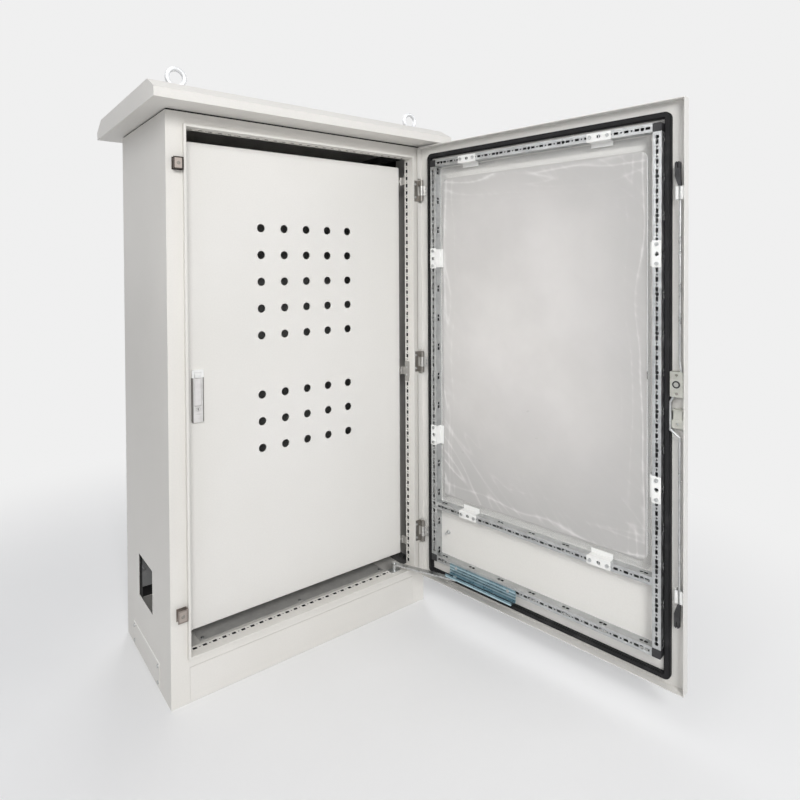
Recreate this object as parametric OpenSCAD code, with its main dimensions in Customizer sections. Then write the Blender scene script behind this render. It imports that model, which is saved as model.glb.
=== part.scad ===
// Outdoor steel utility cabinet: folded sheet body on a plinth, rain hood, windowed outer door
// with a rod lock and a sliding stay, and a perforated inner door for indicators.
// The outer door is drawn closed and then swung open by its rest angle.

/* [Cabinet] */
// Width of the body
cabinet_w = 800; // [700:10:1000]
// Depth of the body
cabinet_d = 400; // [360:10:600]
// Height of the body up to the seal under the hood
body_h = 1446; // [1300:2:1800]
// Thickness of the folded sheet
sheet = 2; // [1.5:0.1:2.5]
// Height of the plinth below the floor panel
plinth_h = 88; // [80:2:120]
// Width of the front flange beside the door opening
side_flange_w = 46; // [44:1:60]
// Height of the front flange above the door opening
top_flange_h = 36; // [30:1:50]
// Height of the sill below the door opening
sill_h = 30; // [26:1:40]
// Width of the flange that carries the back panel
rear_flange_w = 40; // [30:1:60]
// Width of the flange that stands on the ground
foot_flange_w = 46; // [40:1:60]
// Thickness of the flange that stands on the ground
foot_flange_t = 3; // [2:0.5:5]

/* [Door frame] */
// Thickness of the rain gutter around the opening
gutter_w = 6; // [4:0.5:8]
// How far the gutter stands out of the front
gutter_proud = 12; // [8:0.5:12.5]
// Depth of the perforated strips behind the gutter
strip_d = 28; // [26:1:40]
// Fold at the back of each strip
strip_fold = 14; // [13:1:20]
// Spacing of the slots in upright strips and rails
slot_pitch = 22.5; // [22:0.5:30]
// Spacing of the slots in level rails
level_pitch = 25; // [22:0.5:30]
// Spacing of the slots in level strips
sill_pitch = 25.75; // [22:0.25:30]
// Length of a slot
slot_l = 11; // [10:0.5:12]
// Width of a slot
slot_w = 6; // [3:0.5:7]
// Width of a slot in the strips
strip_slot_w = 9.5; // [6:0.5:10]
// Diameter of the small holes between slots
dot_d = 4.5; // [3:0.5:5]
// Distance of the slot row from the front of a strip
slot_row = 18; // [12:0.5:18]

/* [Side wall openings] */
// Depth of the square opening in the left wall
cutout_d = 128; // [80:1:160]
// Height of the square opening in the left wall
cutout_h = 116; // [80:1:140]
// Middle of that opening, back from the middle of the wall
cutout_y = 13; // [-40:1:40]
// Middle of that opening, above the ground
cutout_z = 222; // [210:1:400]
// Length of a plinth side cover
cover_l = 240; // [180:2:280]
// Height of a plinth side cover
cover_h = 62; // [50:1:70]
// Thickness of a plinth side cover
cover_t = 1.5; // [1:0.1:2]
// Height of a plinth side cover above the ground
cover_z = 6; // [4:0.5:10]
// Middle of a plinth side cover, back from the middle of the wall
cover_y = 10; // [-20:1:20]
// How far a cover laps over the opening behind it
cover_lap = 22; // [18:1:26]

/* [Hood] */
// Overhang of the hood at each side
hood_side = 50; // [30:1:80]
// Overhang of the hood at front and back
hood_front = 85; // [60:1:120]
// Height of the hood
hood_h = 50; // [40:1:70]
// Height of the upright lip of the hood
hood_lip = 22; // [16:1:30]
// Length of the slope above the front and back lips
hood_slope = 50; // [30:1:70]
// Thickness of the seal between hood and body
hood_seal = 4; // [3:0.5:6]

/* [Eye bolts] */
// Distance of an eye bolt from the side of the body
eye_x_inset = 33; // [30:1:60]
// Distance of an eye bolt from the front or back of the body
eye_y_inset = 20; // [18:1:60]
// Outer diameter of the ring
eye_od = 54; // [44:1:60]
// Inner diameter of the ring
eye_id = 30; // [24:1:34]
// Diameter of the thread
eye_thread_d = 12; // [10:1:14]
// Diameter of the collar
eye_collar_d = 30; // [24:1:34]
// Height of the collar
eye_collar_h = 7; // [5:0.5:9]

/* [Ground anchors] */
// Diameter of an anchor hole
anchor_d = 14; // [10:0.5:18]
// Distance of an anchor hole from the side of the body
anchor_inset = 26; // [22:1:30]
// Distance between the anchor holes from front to back
anchor_pitch = 300; // [200:2:320]

/* [Outer door] */
// Angle that the outer door stands open
door_angle = 98.4; // [0:0.1:108]
// Depth of the folded door pan
door_depth = 24; // [24:0.5:28]
// Gap between the body and the rim of the door
door_gap = 3; // [2.5:0.5:4]
// How far the door stays inside each side of the body
door_side_gap = 2; // [1:0.5:4]
// Gap between the plinth and the foot of the door
door_foot_gap = 6; // [4:0.5:8]
// Gap between the hood and the head of the door
door_head_gap = 2; // [1:0.5:4]
// Distance of the hinge line from the side of the body
hinge_inset = 13; // [12.5:0.5:14]
// Distance of the hinge line from the front of the body
hinge_offset = 15; // [15:0.5:17]
// Distance between neighbouring hinges
hinge_pitch = 540; // [400:5:560]
// Height of one hinge
hinge_h = 64; // [50:1:80]
// Height of the middle knuckle of a hinge
hinge_mid_h = 30; // [20:1:34]
// Radius of a hinge knuckle
knuckle_r = 5.5; // [5:0.25:6]
// Radius of a hinge pin
hinge_pin_r = 2.5; // [2:0.25:3]

/* [Window] */
// Distance of the window opening from the lock side rail
window_gap_lock = 20; // [16:1:21]
// Distance of the window opening from the hinge side rail
window_gap_hinge = 11; // [11:1:20]
// Distance of the window opening from the head rail
window_gap_head = 37; // [37:1:44]
// Distance of the window opening from the cross rail
window_gap_foot = 22; // [22:1:30]
// Corner radius of the window opening
window_r = 18; // [8:1:30]
// Thickness of the pane
pane_t = 4; // [3:0.5:6]
// How far the pane laps the skin at each side
pane_lap_side = 9.5; // [9:0.5:10.5]
// How far the pane laps the skin at the head
pane_lap_head = 33; // [30:1:36]
// How far the pane laps the skin at the foot
pane_lap_foot = 20; // [17:1:21]

/* [Door seal] */
// Width of the foot of the seal
seal_w = 15; // [14:0.5:15.5]
// Height of the foot of the seal
seal_foot_h = 8; // [5:0.5:8]
// Width of the bulb of the seal
seal_bulb_w = 9; // [6:0.5:10]
// Height of the whole seal
seal_h = 11.5; // [9:0.1:11.7]
// Outer corner radius of the seal
seal_r = 15.5; // [14:0.5:20]

/* [Door rails] */
// Width of a rail
rail_w = 20; // [16:0.5:24]
// Depth of a rail
rail_d = 25; // [20:0.5:25]
// Sheet thickness of a rail
rail_t = 1.5; // [1:0.1:2]
// Spacing of the large holes in a rail, in slots
rail_hole_every = 4; // [3:1:6]
// Diameter of the large holes in a rail
rail_hole_d = 9; // [6:0.5:10]
// Distance of the lock side rail from the gutter
rail_gap_lock = 5; // [5:0.5:9]
// Distance of the hinge side rail from the gutter
rail_gap_hinge = 16; // [12:0.5:18]
// Distance of the head rail from the gutter
rail_gap_head = 15; // [10:0.5:18]
// Distance of the foot rail from the gutter
rail_gap_foot = 42; // [38:0.5:44]
// Height of the cross rail above the foot rail
cross_rail_z = 164; // [150:1:180]
// Length of a pane clamp
clamp_l = 62; // [40:1:80]
// Sheet thickness of a pane clamp
clamp_t = 1.5; // [1:0.1:2]
// Reach of a pane clamp over the pane
clamp_foot = 13; // [12:0.5:16]
// Distance of the clamps on the level rails from the middle of the window
clamp_x = 200; // [100:5:240]

/* [Rod lock] */
// Height of the handle above the middle of the door
lock_rise = 30; // [10:1:60]
// Distance of the handle spindle from the side of the body
spindle_inset = 20; // [19:0.5:21]
// Radius of the spindle
spindle_r = 5; // [4:0.25:5.25]
// Distance of each rod from the spindle
rod_offset = 9; // [9:0.25:9.5]
// Diameter of a rod
rod_d = 6; // [5:0.25:6.5]
// Width of the gear case
gear_case_w = 28; // [27:0.5:28]
// Height of the gear case
gear_case_h = 57; // [50:1:64]
// Depth of the gear case
gear_case_d = 20; // [18:0.5:20]
// Height of the key lock case
key_case_h = 42; // [36:1:50]
// Distance of each keeper from the middle between them
keeper_pitch = 546; // [450:2:560]
// Height of the middle between the keepers above the middle of the door
keeper_rise = 4.5; // [0:0.5:8]
// Height of a keeper
keeper_h = 30; // [26:1:40]
// Width of a keeper
keeper_w = 24; // [20:0.5:26]
// Length of a rod tip
tip_l = 54; // [46:1:60]
// Length of a rod guide
guide_l = 30; // [24:1:40]

/* [Handle] */
// Length of the handle base
handle_base_l = 160; // [140:2:180]
// Width of the handle base
handle_base_w = 30; // [28:1:32]
// Thickness of the handle base
handle_base_t = 8; // [6:0.5:10]
// Length of the lever from its pivot
lever_l = 132; // [110:2:150]
// Thickness of the lever at its pivot
lever_t = 14; // [12:0.5:16]
// Width of the lever
lever_w = 17; // [14:0.5:20]
// Angle that the lever stands off the door at rest
lever_lift = 20; // [0:1:30]

/* [Door stay] */
// Distance of the stay pivot from the hinge line, towards the lock side
stay_x = 91; // [80:1:100]
// Distance of the stay pivot from the hinge line, into the cabinet
stay_y = 33; // [30:1:40]
// Length of the stay arm between its holes
stay_l = 203.8; // [200:0.2:206]
// Width of the stay arm
stay_w = 16; // [12:0.5:20]
// Thickness of the stay arm
stay_t = 4; // [3:0.5:5]
// Radius of the stay pivot
stay_pin_r = 4; // [3:0.25:5]
// Length of the stay channel
channel_l = 228; // [200:1:240]
// Depth of the stay channel
channel_d = 25; // [22:0.5:28]
// Height of the back flange of the stay channel
channel_h = 31; // [30:0.5:36]
// Height of the front lip of the stay channel
channel_lip = 8; // [5:0.5:10]
// Width of the slot in the stay channel
channel_slot = 7; // [6:0.25:8]

/* [Inner door] */
// Distance of the inner door from the sides of the opening
inner_gap_side = 8; // [7:0.5:12]
// Distance of the inner door from the head of the opening
inner_gap_head = 24; // [20:0.5:40]
// Distance of the inner door from the sill
inner_gap_foot = 30; // [30:0.5:40]
// How far the inner door is set back from the front of the body
inner_setback = 50; // [48:1:56]
// Depth of the folded edge of the inner door
inner_depth = 20; // [18:0.5:24]
// Diameter of an indicator hole
indicator_d = 22.5; // [16:0.5:30.5]
// Spacing of the indicator holes across
indicator_pitch_x = 70; // [50:1:80]
// Spacing of the indicator holes down
indicator_pitch_z = 73; // [50:1:80]
// Columns of indicator holes
indicator_columns = 5; // [1:1:6]
// Rows of the upper block of indicator holes
upper_rows = 5; // [1:1:5]
// Rows of the lower block of indicator holes
lower_rows = 3; // [1:1:4]
// Height of the top row of the upper block
upper_row_z = 1176; // [1000:1:1250]
// Height of the top row of the lower block
lower_row_z = 722; // [500:1:760]
// Middle of the indicator holes, right of the middle of the body
indicator_x = 8; // [-20:1:20]
// Width of the inner lock
inner_lock_w = 30; // [28:0.5:34]
// Height of the inner lock
inner_lock_h = 134; // [124:1:150]
// Middle of the inner lock from the edge of the inner door
inner_lock_inset = 34; // [30:0.5:40]
// Height of the middle of the inner lock
inner_lock_z = 743; // [600:1:900]

/* [Fittings inside] */
// Width of a rear upright
upright_w = 30; // [26:1:40]
// Depth of a rear upright
upright_d = 36; // [30:1:40]
// Width of a depth rail
depth_rail_w = 25; // [20:1:30]
// Height of a depth rail
depth_rail_h = 20; // [16:1:24]
// Thickness of the mounting plate
plate_t = 2.5; // [2:0.5:4]
// Distance of the mounting plate from the walls
plate_gap = 30; // [26:1:60]
// Distance of the mounting plate from floor and roof
plate_end_gap = 50; // [46:1:90]
// Width of the cable opening in the floor
gland_w = 560; // [300:5:600]
// Depth of the cable opening in the floor
gland_d = 200; // [100:5:220]
// How far the cable plate laps over its opening
gland_lap = 20; // [14:1:30]
// Thickness of the cable plate
gland_t = 2; // [1.5:0.5:3]

/* [Hidden] */
$fn = 48;

// Overrun of every cut
over = 1;
// Clearance of a running fit, on the radius
fit = 0.05;
// Gap between neighbouring plates that only meet
seam = 0.3;
// End float between two knuckles
float_gap = 0.5;

half_w = cabinet_w / 2;
half_d = cabinet_d / 2;
front_y = -half_d;
wall_x = half_w - sheet;
floor_z = plinth_h + sheet;
roof_z = body_h - sheet;
open_x = half_w - side_flange_w;
open_z0 = plinth_h + sill_h;
open_z1 = body_h - top_flange_h;
strip_y0 = front_y + sheet;
strip_y1 = strip_y0 + strip_d;
rear_flange_y = half_d - 2 * sheet;
rear_open_x = half_w - rear_flange_w;

hood_z = body_h + hood_seal;
hood_x = half_w + hood_side;
hood_y = half_d + hood_front;
hood_top = hood_z + hood_h;

hinge_x = half_w - hinge_inset;
hinge_y = front_y - hinge_offset;
door_x = half_w - door_side_gap;
door_rim_y = front_y - door_gap;
door_face_y = door_rim_y - door_depth;
skin_y = door_face_y + sheet;
door_z0 = plinth_h + door_foot_gap;
door_z1 = body_h - door_head_gap;
door_mid = (door_z0 + door_z1) / 2;
hinge_zs = [door_mid - hinge_pitch, door_mid, door_mid + hinge_pitch];

rail_y = skin_y + rail_d;
rail_lock_x = -open_x + rail_gap_lock;
rail_hinge_x = open_x - rail_gap_hinge;
rail_foot_z = open_z0 + rail_gap_foot;
rail_head_z = open_z1 - rail_gap_head;
cross_z = rail_foot_z + cross_rail_z;
level_rail_l = rail_hinge_x - rail_lock_x - 2 * rail_w;
window_x0 = rail_lock_x + rail_w + window_gap_lock;
window_x1 = rail_hinge_x - rail_w - window_gap_hinge;
window_z0 = cross_z + rail_w + window_gap_foot;
window_z1 = rail_head_z - rail_w - window_gap_head;
clamp_z_shares = [0.19, 0.75];
clamp_xs = [-clamp_x, clamp_x];
clamp_zs = [for (share = clamp_z_shares) window_z0 + share * (window_z1 - window_z0)];

spindle_x = -half_w + spindle_inset;
spindle_z = door_mid + lock_rise;
rod_r = rod_d / 2;
rod_depth_share = 0.7;
rod_y = skin_y + rod_depth_share * gear_case_d;
rod_lean = 3;
rod_x = spindle_x - rod_offset + rod_lean;
lock_mid = door_mid + keeper_rise;

inner_x = open_x - inner_gap_side;
inner_z0 = open_z0 + inner_gap_foot;
inner_z1 = open_z1 - inner_gap_head;
inner_y = front_y + inner_setback;
inner_back_y = inner_y + inner_depth;
inner_lock_x = -inner_x + inner_lock_inset;

// A box from its two corners
module box(low, high) {
    translate(low) cube(high - low);
}

// A round bar along Y
module bar_y(radius, y0, y1) {
    translate([0, y0, 0]) rotate([-90, 0, 0]) cylinder(r = radius, h = y1 - y0);
}

// A round bar along X
module bar_x(radius, x0, x1) {
    translate([x0, 0, 0]) rotate([0, 90, 0]) cylinder(r = radius, h = x1 - x0);
}

// An outline drawn as X and Z and given its thickness along Y
module plate_xz(y0, y1) {
    translate([0, y1, 0]) rotate([90, 0, 0]) linear_extrude(y1 - y0) children();
}

// An outline drawn as Y and Z and given its thickness along X
module plate_yz(x0, x1) {
    translate([x0, 0, 0]) rotate([90, 0, 90]) linear_extrude(x1 - x0) children();
}

// A rectangle from two corners
module rect(low, high) {
    translate(low) square(high - low);
}

// A rectangle from two corners with round corners
module round_rect(low, high, radius) {
    rect([low[0] + radius, low[1]], [high[0] - radius, high[1]]);
    rect([low[0], low[1] + radius], [high[0], high[1] - radius]);
    for (x = [low[0] + radius, high[0] - radius], y = [low[1] + radius, high[1] - radius])
        translate([x, y]) circle(radius);
}

// A bar with round ends between two points
module link_outline(length, width) {
    translate([0, -width / 2]) square([length, width]);
    circle(width / 2);
    translate([length, 0]) circle(width / 2);
}

// Puts children, drawn with the outer door closed, where they are with the door at rest
module swing() {
    translate([hinge_x, hinge_y, 0]) rotate([0, 0, door_angle]) translate([-hinge_x, -hinge_y, 0])
        children();
}

// Body

side_frame_shade = "#dcdad4";

// One folded side: wall, front flange down to the ground, back flange and foot flange
module side_panel(opening) {
    plate_yz(-half_w, -wall_x) difference() {
        rect([-half_d, 0], [half_d, body_h]);
        rect([cover_y - cover_l / 2 + cover_lap, cover_z + cover_lap / 2],
            [cover_y + cover_l / 2 - cover_lap, cover_z + cover_h - cover_lap / 2]);
        if (opening)
            rect([cutout_y - cutout_d / 2, cutout_z - cutout_h / 2],
                [cutout_y + cutout_d / 2, cutout_z + cutout_h / 2]);
    }
    box([-wall_x, front_y, 0], [-open_x, strip_y0, roof_z]);
    box([-wall_x, rear_flange_y, 0], [-rear_open_x, rear_flange_y + sheet, roof_z]);
    difference() {
        box([-wall_x, strip_y0, 0], [-half_w + foot_flange_w, rear_flange_y, foot_flange_t]);
        for (y = [-anchor_pitch / 2, anchor_pitch / 2])
            translate([-half_w + anchor_inset, y, -over])
                cylinder(d = anchor_d, h = foot_flange_t + 2 * over);
    }
}

module side_panel_left() {
    color(side_frame_shade) side_panel(true);
}

module side_panel_right() {
    color(side_frame_shade) mirror([1, 0, 0]) side_panel(false);
}

module top_panel() {
    color(side_frame_shade) {
        difference() {
            box([-wall_x, front_y, roof_z], [wall_x, half_d, body_h]);
            eye_bolt_places() translate([0, 0, roof_z - over])
                cylinder(r = eye_thread_d / 2 + seam, h = sheet + 2 * over);
        }
        box([-open_x, front_y, open_z1], [open_x, strip_y0, roof_z]);
        box([-rear_open_x, rear_flange_y, roof_z - rear_flange_w],
            [rear_open_x, rear_flange_y + sheet, roof_z]);
    }
}

module floor_panel() {
    color(side_frame_shade) {
        difference() {
            box([-wall_x, strip_y0, plinth_h], [wall_x, rear_flange_y, floor_z]);
            box([-gland_w / 2, -gland_d / 2, plinth_h - over],
                [gland_w / 2, gland_d / 2, floor_z + over]);
        }
        box([-open_x, front_y, plinth_h], [open_x, strip_y0, open_z0]);
        box([-rear_open_x, rear_flange_y, plinth_h],
            [rear_open_x, rear_flange_y + sheet, floor_z + rear_flange_w]);
    }
}

// The hem that stands out around the opening, sheds rain and meets the door seal
module door_gutter() {
    color(side_frame_shade) plate_xz(front_y - gutter_proud, front_y) difference() {
        rect([-open_x - gutter_w, open_z0 - gutter_w], [open_x + gutter_w, open_z1 + gutter_w]);
        rect([-open_x, open_z0], [open_x, open_z1]);
    }
}

// Slots with a small hole between each two, along X and centred on the length
module slot_row_outline(length, pitch) {
    count = floor((length - pitch) / pitch);
    start = (length - count * pitch) / 2;
    for (i = [0 : count])
        translate([start + i * pitch, 0]) square([slot_l, strip_slot_w], center = true);
    for (i = [0 : count - 1])
        translate([start + (i + 0.5) * pitch, 0]) circle(d = dot_d, $fn = 16);
}

// One perforated strip, face up, along X from zero, its front edge at Y zero
module frame_strip(length, pitch) {
    translate([0, 0, -sheet]) linear_extrude(sheet) difference() {
        square([length, strip_d]);
        translate([0, slot_row]) slot_row_outline(length, pitch);
    }
    box([0, strip_d - sheet, -strip_fold], [length, strip_d, -sheet]);
}

module frame_strips_upright() {
    color(side_frame_shade) for (side = [0, 1])
        mirror([side, 0, 0]) translate([-open_x, strip_y0, open_z1]) rotate([0, 90, 0])
            frame_strip(open_z1 - open_z0, slot_pitch);
}

module frame_strips_level() {
    color(side_frame_shade) {
        translate([-open_x, strip_y0, open_z0]) frame_strip(2 * open_x, sill_pitch);
        translate([-open_x, strip_y0, open_z1]) mirror([0, 0, 1]) frame_strip(2 * open_x, sill_pitch);
    }
}

back_gap = 2;
back_screw_inset = 18;
module back_panel() {
    color(side_frame_shade) box([-wall_x + back_gap, half_d - sheet, floor_z + back_gap],
        [wall_x - back_gap, half_d, roof_z - back_gap]);
}

// A screw head that stands on a face, pointing up
screw_head_r = 4.5;
screw_head_h = 2.5;
screw_recess_w = 1.2;
module screw_head() {
    difference() {
        cylinder(r = screw_head_r, h = screw_head_h, $fn = 24);
        for (turn = [0, 90])
            rotate([0, 0, turn]) translate([0, 0, screw_head_h])
                cube([screw_head_r, screw_recess_w, screw_head_h], center = true);
    }
}

module back_screws() {
    zs = [floor_z + rear_flange_w, (floor_z + roof_z) / 2, roof_z - rear_flange_w];
    color("#b8b9b7") for (x = [-1, 1], z = zs)
        translate([x * (wall_x - back_screw_inset), half_d, z]) rotate([-90, 0, 0]) screw_head();
}

// Hood

module hood_outline(inset) {
    y = hood_y - inset;
    top = hood_top - inset;
    polygon([[-y, hood_z + inset], [y, hood_z + inset], [y, hood_z + hood_lip], [y - hood_slope, top],
        [-y + hood_slope, top], [-y, hood_z + hood_lip]]);
}

hood_mouth_inset = 60;
module rain_hood() {
    color(side_frame_shade) difference() {
        plate_yz(-hood_x, hood_x) hood_outline(0);
        plate_yz(-hood_x + sheet, hood_x - sheet) hood_outline(sheet);
        box([-half_w + hood_mouth_inset, -half_d + hood_mouth_inset, hood_z - over],
            [half_w - hood_mouth_inset, half_d - hood_mouth_inset, hood_z + sheet + over]);
        eye_bolt_places() translate([0, 0, hood_z - over])
            cylinder(r = eye_thread_d / 2 + seam, h = hood_h + 2 * over);
    }
}

seal_strip_w = 20;
seal_strip_inset = 3;
module hood_seal_strip() {
    x = half_w - seal_strip_inset;
    y = half_d - seal_strip_inset;
    color("#26272a") difference() {
        box([-x, -y, body_h], [x, y, hood_z]);
        box([-x + seal_strip_w, -y + seal_strip_w, body_h - over],
            [x - seal_strip_w, y - seal_strip_w, hood_z + over]);
        eye_bolt_places() translate([0, 0, body_h - over])
            cylinder(r = eye_thread_d / 2 + seam, h = hood_seal + 2 * over);
    }
}

module eye_bolt_places() {
    for (x = [-1, 1], y = [-1, 1])
        translate([x * (half_w - eye_x_inset), y * (half_d - eye_y_inset), 0]) children();
}

eye_nut_r = 10.4;
eye_nut_h = 10;
eye_neck_r = 7;
module eye_bolts() {
    ring_r = (eye_od + eye_id) / 4;
    wire_r = (eye_od - eye_id) / 4;
    ring_z = eye_collar_h + eye_od / 2 - wire_r / 2;
    color("#d9dbdc") eye_bolt_places() translate([0, 0, hood_top]) {
        cylinder(d = eye_collar_d, h = eye_collar_h);
        cylinder(r = eye_neck_r, h = eye_collar_h + wire_r);
        translate([0, 0, ring_z]) rotate([90, 0, 0]) rotate_extrude() translate([ring_r, 0])
            circle(wire_r);
        translate([0, 0, roof_z - hood_top - eye_nut_h]) {
            cylinder(d = eye_thread_d, h = hood_top - roof_z + eye_nut_h);
            cylinder(r = eye_nut_r, h = eye_nut_h, $fn = 6);
        }
    }
}

// Plinth

plinth_return = 20;
plinth_joint = 0.8;
// A channel on its side; its face stops short of the floor panel, so that the joint shows
module plinth_plate() {
    x = open_x - seam;
    box([-x, 0, seam], [x, sheet, plinth_h - plinth_joint]);
    box([-x, sheet, plinth_h - sheet], [x, plinth_return, plinth_h]);
    box([-x, sheet, seam], [x, plinth_return, seam + sheet]);
}

module plinth_front_plate() {
    color("#e2e0da") translate([0, front_y, 0]) plinth_plate();
}

module plinth_rear_plate() {
    color("#e2e0da") intersection() {
        mirror([0, 1, 0]) translate([0, -rear_flange_y - sheet, 0]) plinth_plate();
        box([-rear_open_x + seam, rear_flange_y - plinth_return, 0],
            [rear_open_x - seam, half_d, plinth_h]);
    }
}

module cover_places() {
    for (side = [0, 1])
        mirror([side, 0, 0]) translate([-half_w, cover_y, 0]) children();
}

module plinth_covers() {
    color("#e2e0da") cover_places()
        box([-cover_t, -cover_l / 2, cover_z], [0, cover_l / 2, cover_z + cover_h]);
}

cover_screw_inset = 10;
module plinth_screws() {
    color("#b8b9b7") cover_places()
        for (y = [-1, 1], z = [cover_z + cover_screw_inset, cover_z + cover_h - cover_screw_inset])
            translate([-cover_t, y * (cover_l / 2 - cover_screw_inset), z]) rotate([0, -90, 0])
                screw_head();
}

// Fittings inside

module cable_plate() {
    color("#c9cac8") box([-gland_w / 2 - gland_lap, -gland_d / 2 - gland_lap, floor_z],
        [gland_w / 2 + gland_lap, gland_d / 2 + gland_lap, floor_z + gland_t]);
}

module cable_plate_screws() {
    half_x = (gland_w + gland_lap) / 2;
    half_y = (gland_d + gland_lap) / 2;
    color("#b8b9b7") for (x = [-1, 0, 1], y = [-1, 1])
        translate([x * half_x, y * half_y, floor_z + gland_t]) screw_head();
}

upright_hole = 9;
upright_pitch = 50;
upright_head_gap = 24;
upright_t = 2;
// Channel with square holes, open towards the wall
module rear_uprights() {
    length = roof_z - upright_head_gap - floor_z;
    count = floor(length / upright_pitch) - 1;
    start = (length - (count - 1) * upright_pitch) / 2;
    y0 = rear_flange_y - upright_d;
    color("#c9cac8") for (side = [0, 1]) mirror([side, 0, 0]) translate([-wall_x, y0, floor_z]) {
        plate_xz(0, upright_t) difference() {
            rect([0, 0], [upright_w, length]);
            for (i = [0 : count - 1])
                translate([upright_w / 2, start + i * upright_pitch]) square(upright_hole, center = true);
        }
        plate_yz(upright_w - upright_t, upright_w) difference() {
            rect([upright_t, 0], [upright_d, length]);
            for (i = [0 : count - 1])
                translate([upright_d / 2, start + i * upright_pitch]) square(upright_hole, center = true);
        }
        box([0, upright_d - upright_t, 0], [upright_w - upright_t, upright_d, length]);
    }
}

module depth_rail_half(length) {
    count = floor(length / slot_pitch) - 1;
    start = (length - (count - 1) * slot_pitch) / 2;
    translate([0, 0, depth_rail_h - upright_t]) linear_extrude(upright_t) difference() {
        square([depth_rail_w, length]);
        for (i = [0 : count - 1])
            translate([depth_rail_w / 2, start + i * slot_pitch]) square([slot_w, slot_l], center = true);
    }
    for (x = [0, depth_rail_w - upright_t])
        box([x, 0, 0], [x + upright_t, length, depth_rail_h - upright_t]);
}

module depth_rails() {
    length = rear_flange_y - upright_d - strip_y1;
    color("#c9cac8") for (side = [0, 1]) mirror([side, 0, 0]) translate([-wall_x, strip_y1, 0]) {
        translate([0, 0, floor_z]) depth_rail_half(length);
        translate([0, 0, roof_z]) mirror([0, 0, 1]) depth_rail_half(length);
    }
}

module mounting_plate() {
    y1 = rear_flange_y - upright_d;
    color("#cfd2d2") box([-half_w + plate_gap, y1 - plate_t, floor_z + plate_end_gap],
        [half_w - plate_gap, y1, roof_z - plate_end_gap]);
}

module mounting_screws() {
    y = rear_flange_y - upright_d - plate_t;
    z0 = floor_z + 2 * plate_end_gap;
    z1 = roof_z - 2 * plate_end_gap;
    color("#b8b9b7") for (x = [-1, 1], z = [z0, (z0 + z1) / 2, z1])
        translate([x * (half_w - plate_gap - screw_head_r - sheet), y, z]) rotate([90, 0, 0])
            screw_head();
}

// Keepers: a folded strike that a rod tip slides behind

keeper_t = 2;
keeper_front_gap = 9;
keeper_bolt_r = 3.5;
module rod_keepers() {
    x1 = -open_x - gutter_w - keeper_t;
    x0 = x1 - keeper_w;
    y0 = skin_y + keeper_front_gap;
    color("#c4c2bd") for (z = [lock_mid - keeper_pitch, lock_mid + keeper_pitch])
        translate([0, 0, z - keeper_h / 2]) {
            box([x0, front_y - keeper_t, 0], [x1, front_y, keeper_h]);
            box([x1 - keeper_t, y0, 0], [x1, front_y - keeper_t, keeper_h]);
            difference() {
                box([x0, y0, 0], [x1 - keeper_t, y0 + keeper_t, keeper_h]);
                translate([(x0 + x1) / 2, 0, keeper_h / 2])
                    bar_y(keeper_bolt_r, y0 - over, y0 + keeper_t + over);
            }
        }
}

// Outer door hinges

leaf_t = 3;
body_leaf_w = 20;
door_leaf_w = 14;
leaf_hole_r = 2.5;
leaf_hole_z_share = 0.32;
knuckle_end_h = (hinge_h - hinge_mid_h) / 2 - float_gap;

module hinge_body_leaves() {
    color("#8d8a86") for (z = hinge_zs) translate([0, 0, z]) {
        difference() {
            box([hinge_x - knuckle_r - body_leaf_w, front_y - leaf_t, -hinge_h / 2],
                [hinge_x - knuckle_r, front_y, hinge_h / 2]);
            for (side = [-1, 1])
                translate([hinge_x - knuckle_r - body_leaf_w / 2, 0, side * leaf_hole_z_share * hinge_h])
                    bar_y(leaf_hole_r, front_y - leaf_t - over, front_y + over);
        }
        for (z0 = [-hinge_h / 2, hinge_h / 2 - knuckle_end_h]) translate([0, 0, z0]) difference() {
            union() {
                translate([hinge_x, hinge_y, 0]) cylinder(r = knuckle_r, h = knuckle_end_h);
                box([hinge_x - knuckle_r, hinge_y, 0], [hinge_x, front_y, knuckle_end_h]);
            }
            translate([hinge_x, hinge_y, -over])
                cylinder(r = hinge_pin_r + fit, h = knuckle_end_h + 2 * over);
        }
    }
}

pin_head_h = 1.5;
module hinge_pins() {
    color("#b5b3ae") for (z = hinge_zs) translate([hinge_x, hinge_y, z - hinge_h / 2]) {
        cylinder(r = hinge_pin_r, h = hinge_h);
        translate([0, 0, hinge_h]) cylinder(r = (hinge_pin_r + knuckle_r) / 2, h = pin_head_h);
    }
}

finger_shares = [0.34, 0.66];
finger_groove = 2.4;
finger_cut = 1.2;
// The middle knuckle is grooved into three fingers
module hinge_door_leaves() {
    mid_h = hinge_mid_h;
    x0 = hinge_x - knuckle_r - door_leaf_w;
    color("#dad9d5") swing() for (z = hinge_zs) translate([0, 0, z - mid_h / 2]) {
        difference() {
            box([x0, skin_y, 0], [hinge_x + knuckle_r, skin_y + leaf_t, mid_h]);
            for (z1 = [mid_h * (1 - leaf_hole_z_share) , mid_h * leaf_hole_z_share])
                translate([x0 + door_leaf_w / 2, 0, z1])
                    bar_y(leaf_hole_r, skin_y - over, skin_y + leaf_t + over);
        }
        difference() {
            union() {
                translate([hinge_x, hinge_y, 0]) cylinder(r = knuckle_r, h = mid_h);
                box([hinge_x - knuckle_r, skin_y + leaf_t, 0], [hinge_x + knuckle_r, hinge_y, mid_h]);
            }
            translate([hinge_x, hinge_y, -over]) cylinder(r = hinge_pin_r + fit, h = mid_h + 2 * over);
            for (share = finger_shares)
                translate([hinge_x, hinge_y, share * mid_h - finger_groove / 2]) difference() {
                    cylinder(r = knuckle_r + over, h = finger_groove);
                    translate([0, 0, -over])
                        cylinder(r = knuckle_r - finger_cut, h = finger_groove + 2 * over);
                }
        }
    }
}

// Outer door

hinge_notch = 6;
hinge_rim_w = 6;
hinge_rim_cut = 3.5;
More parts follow.
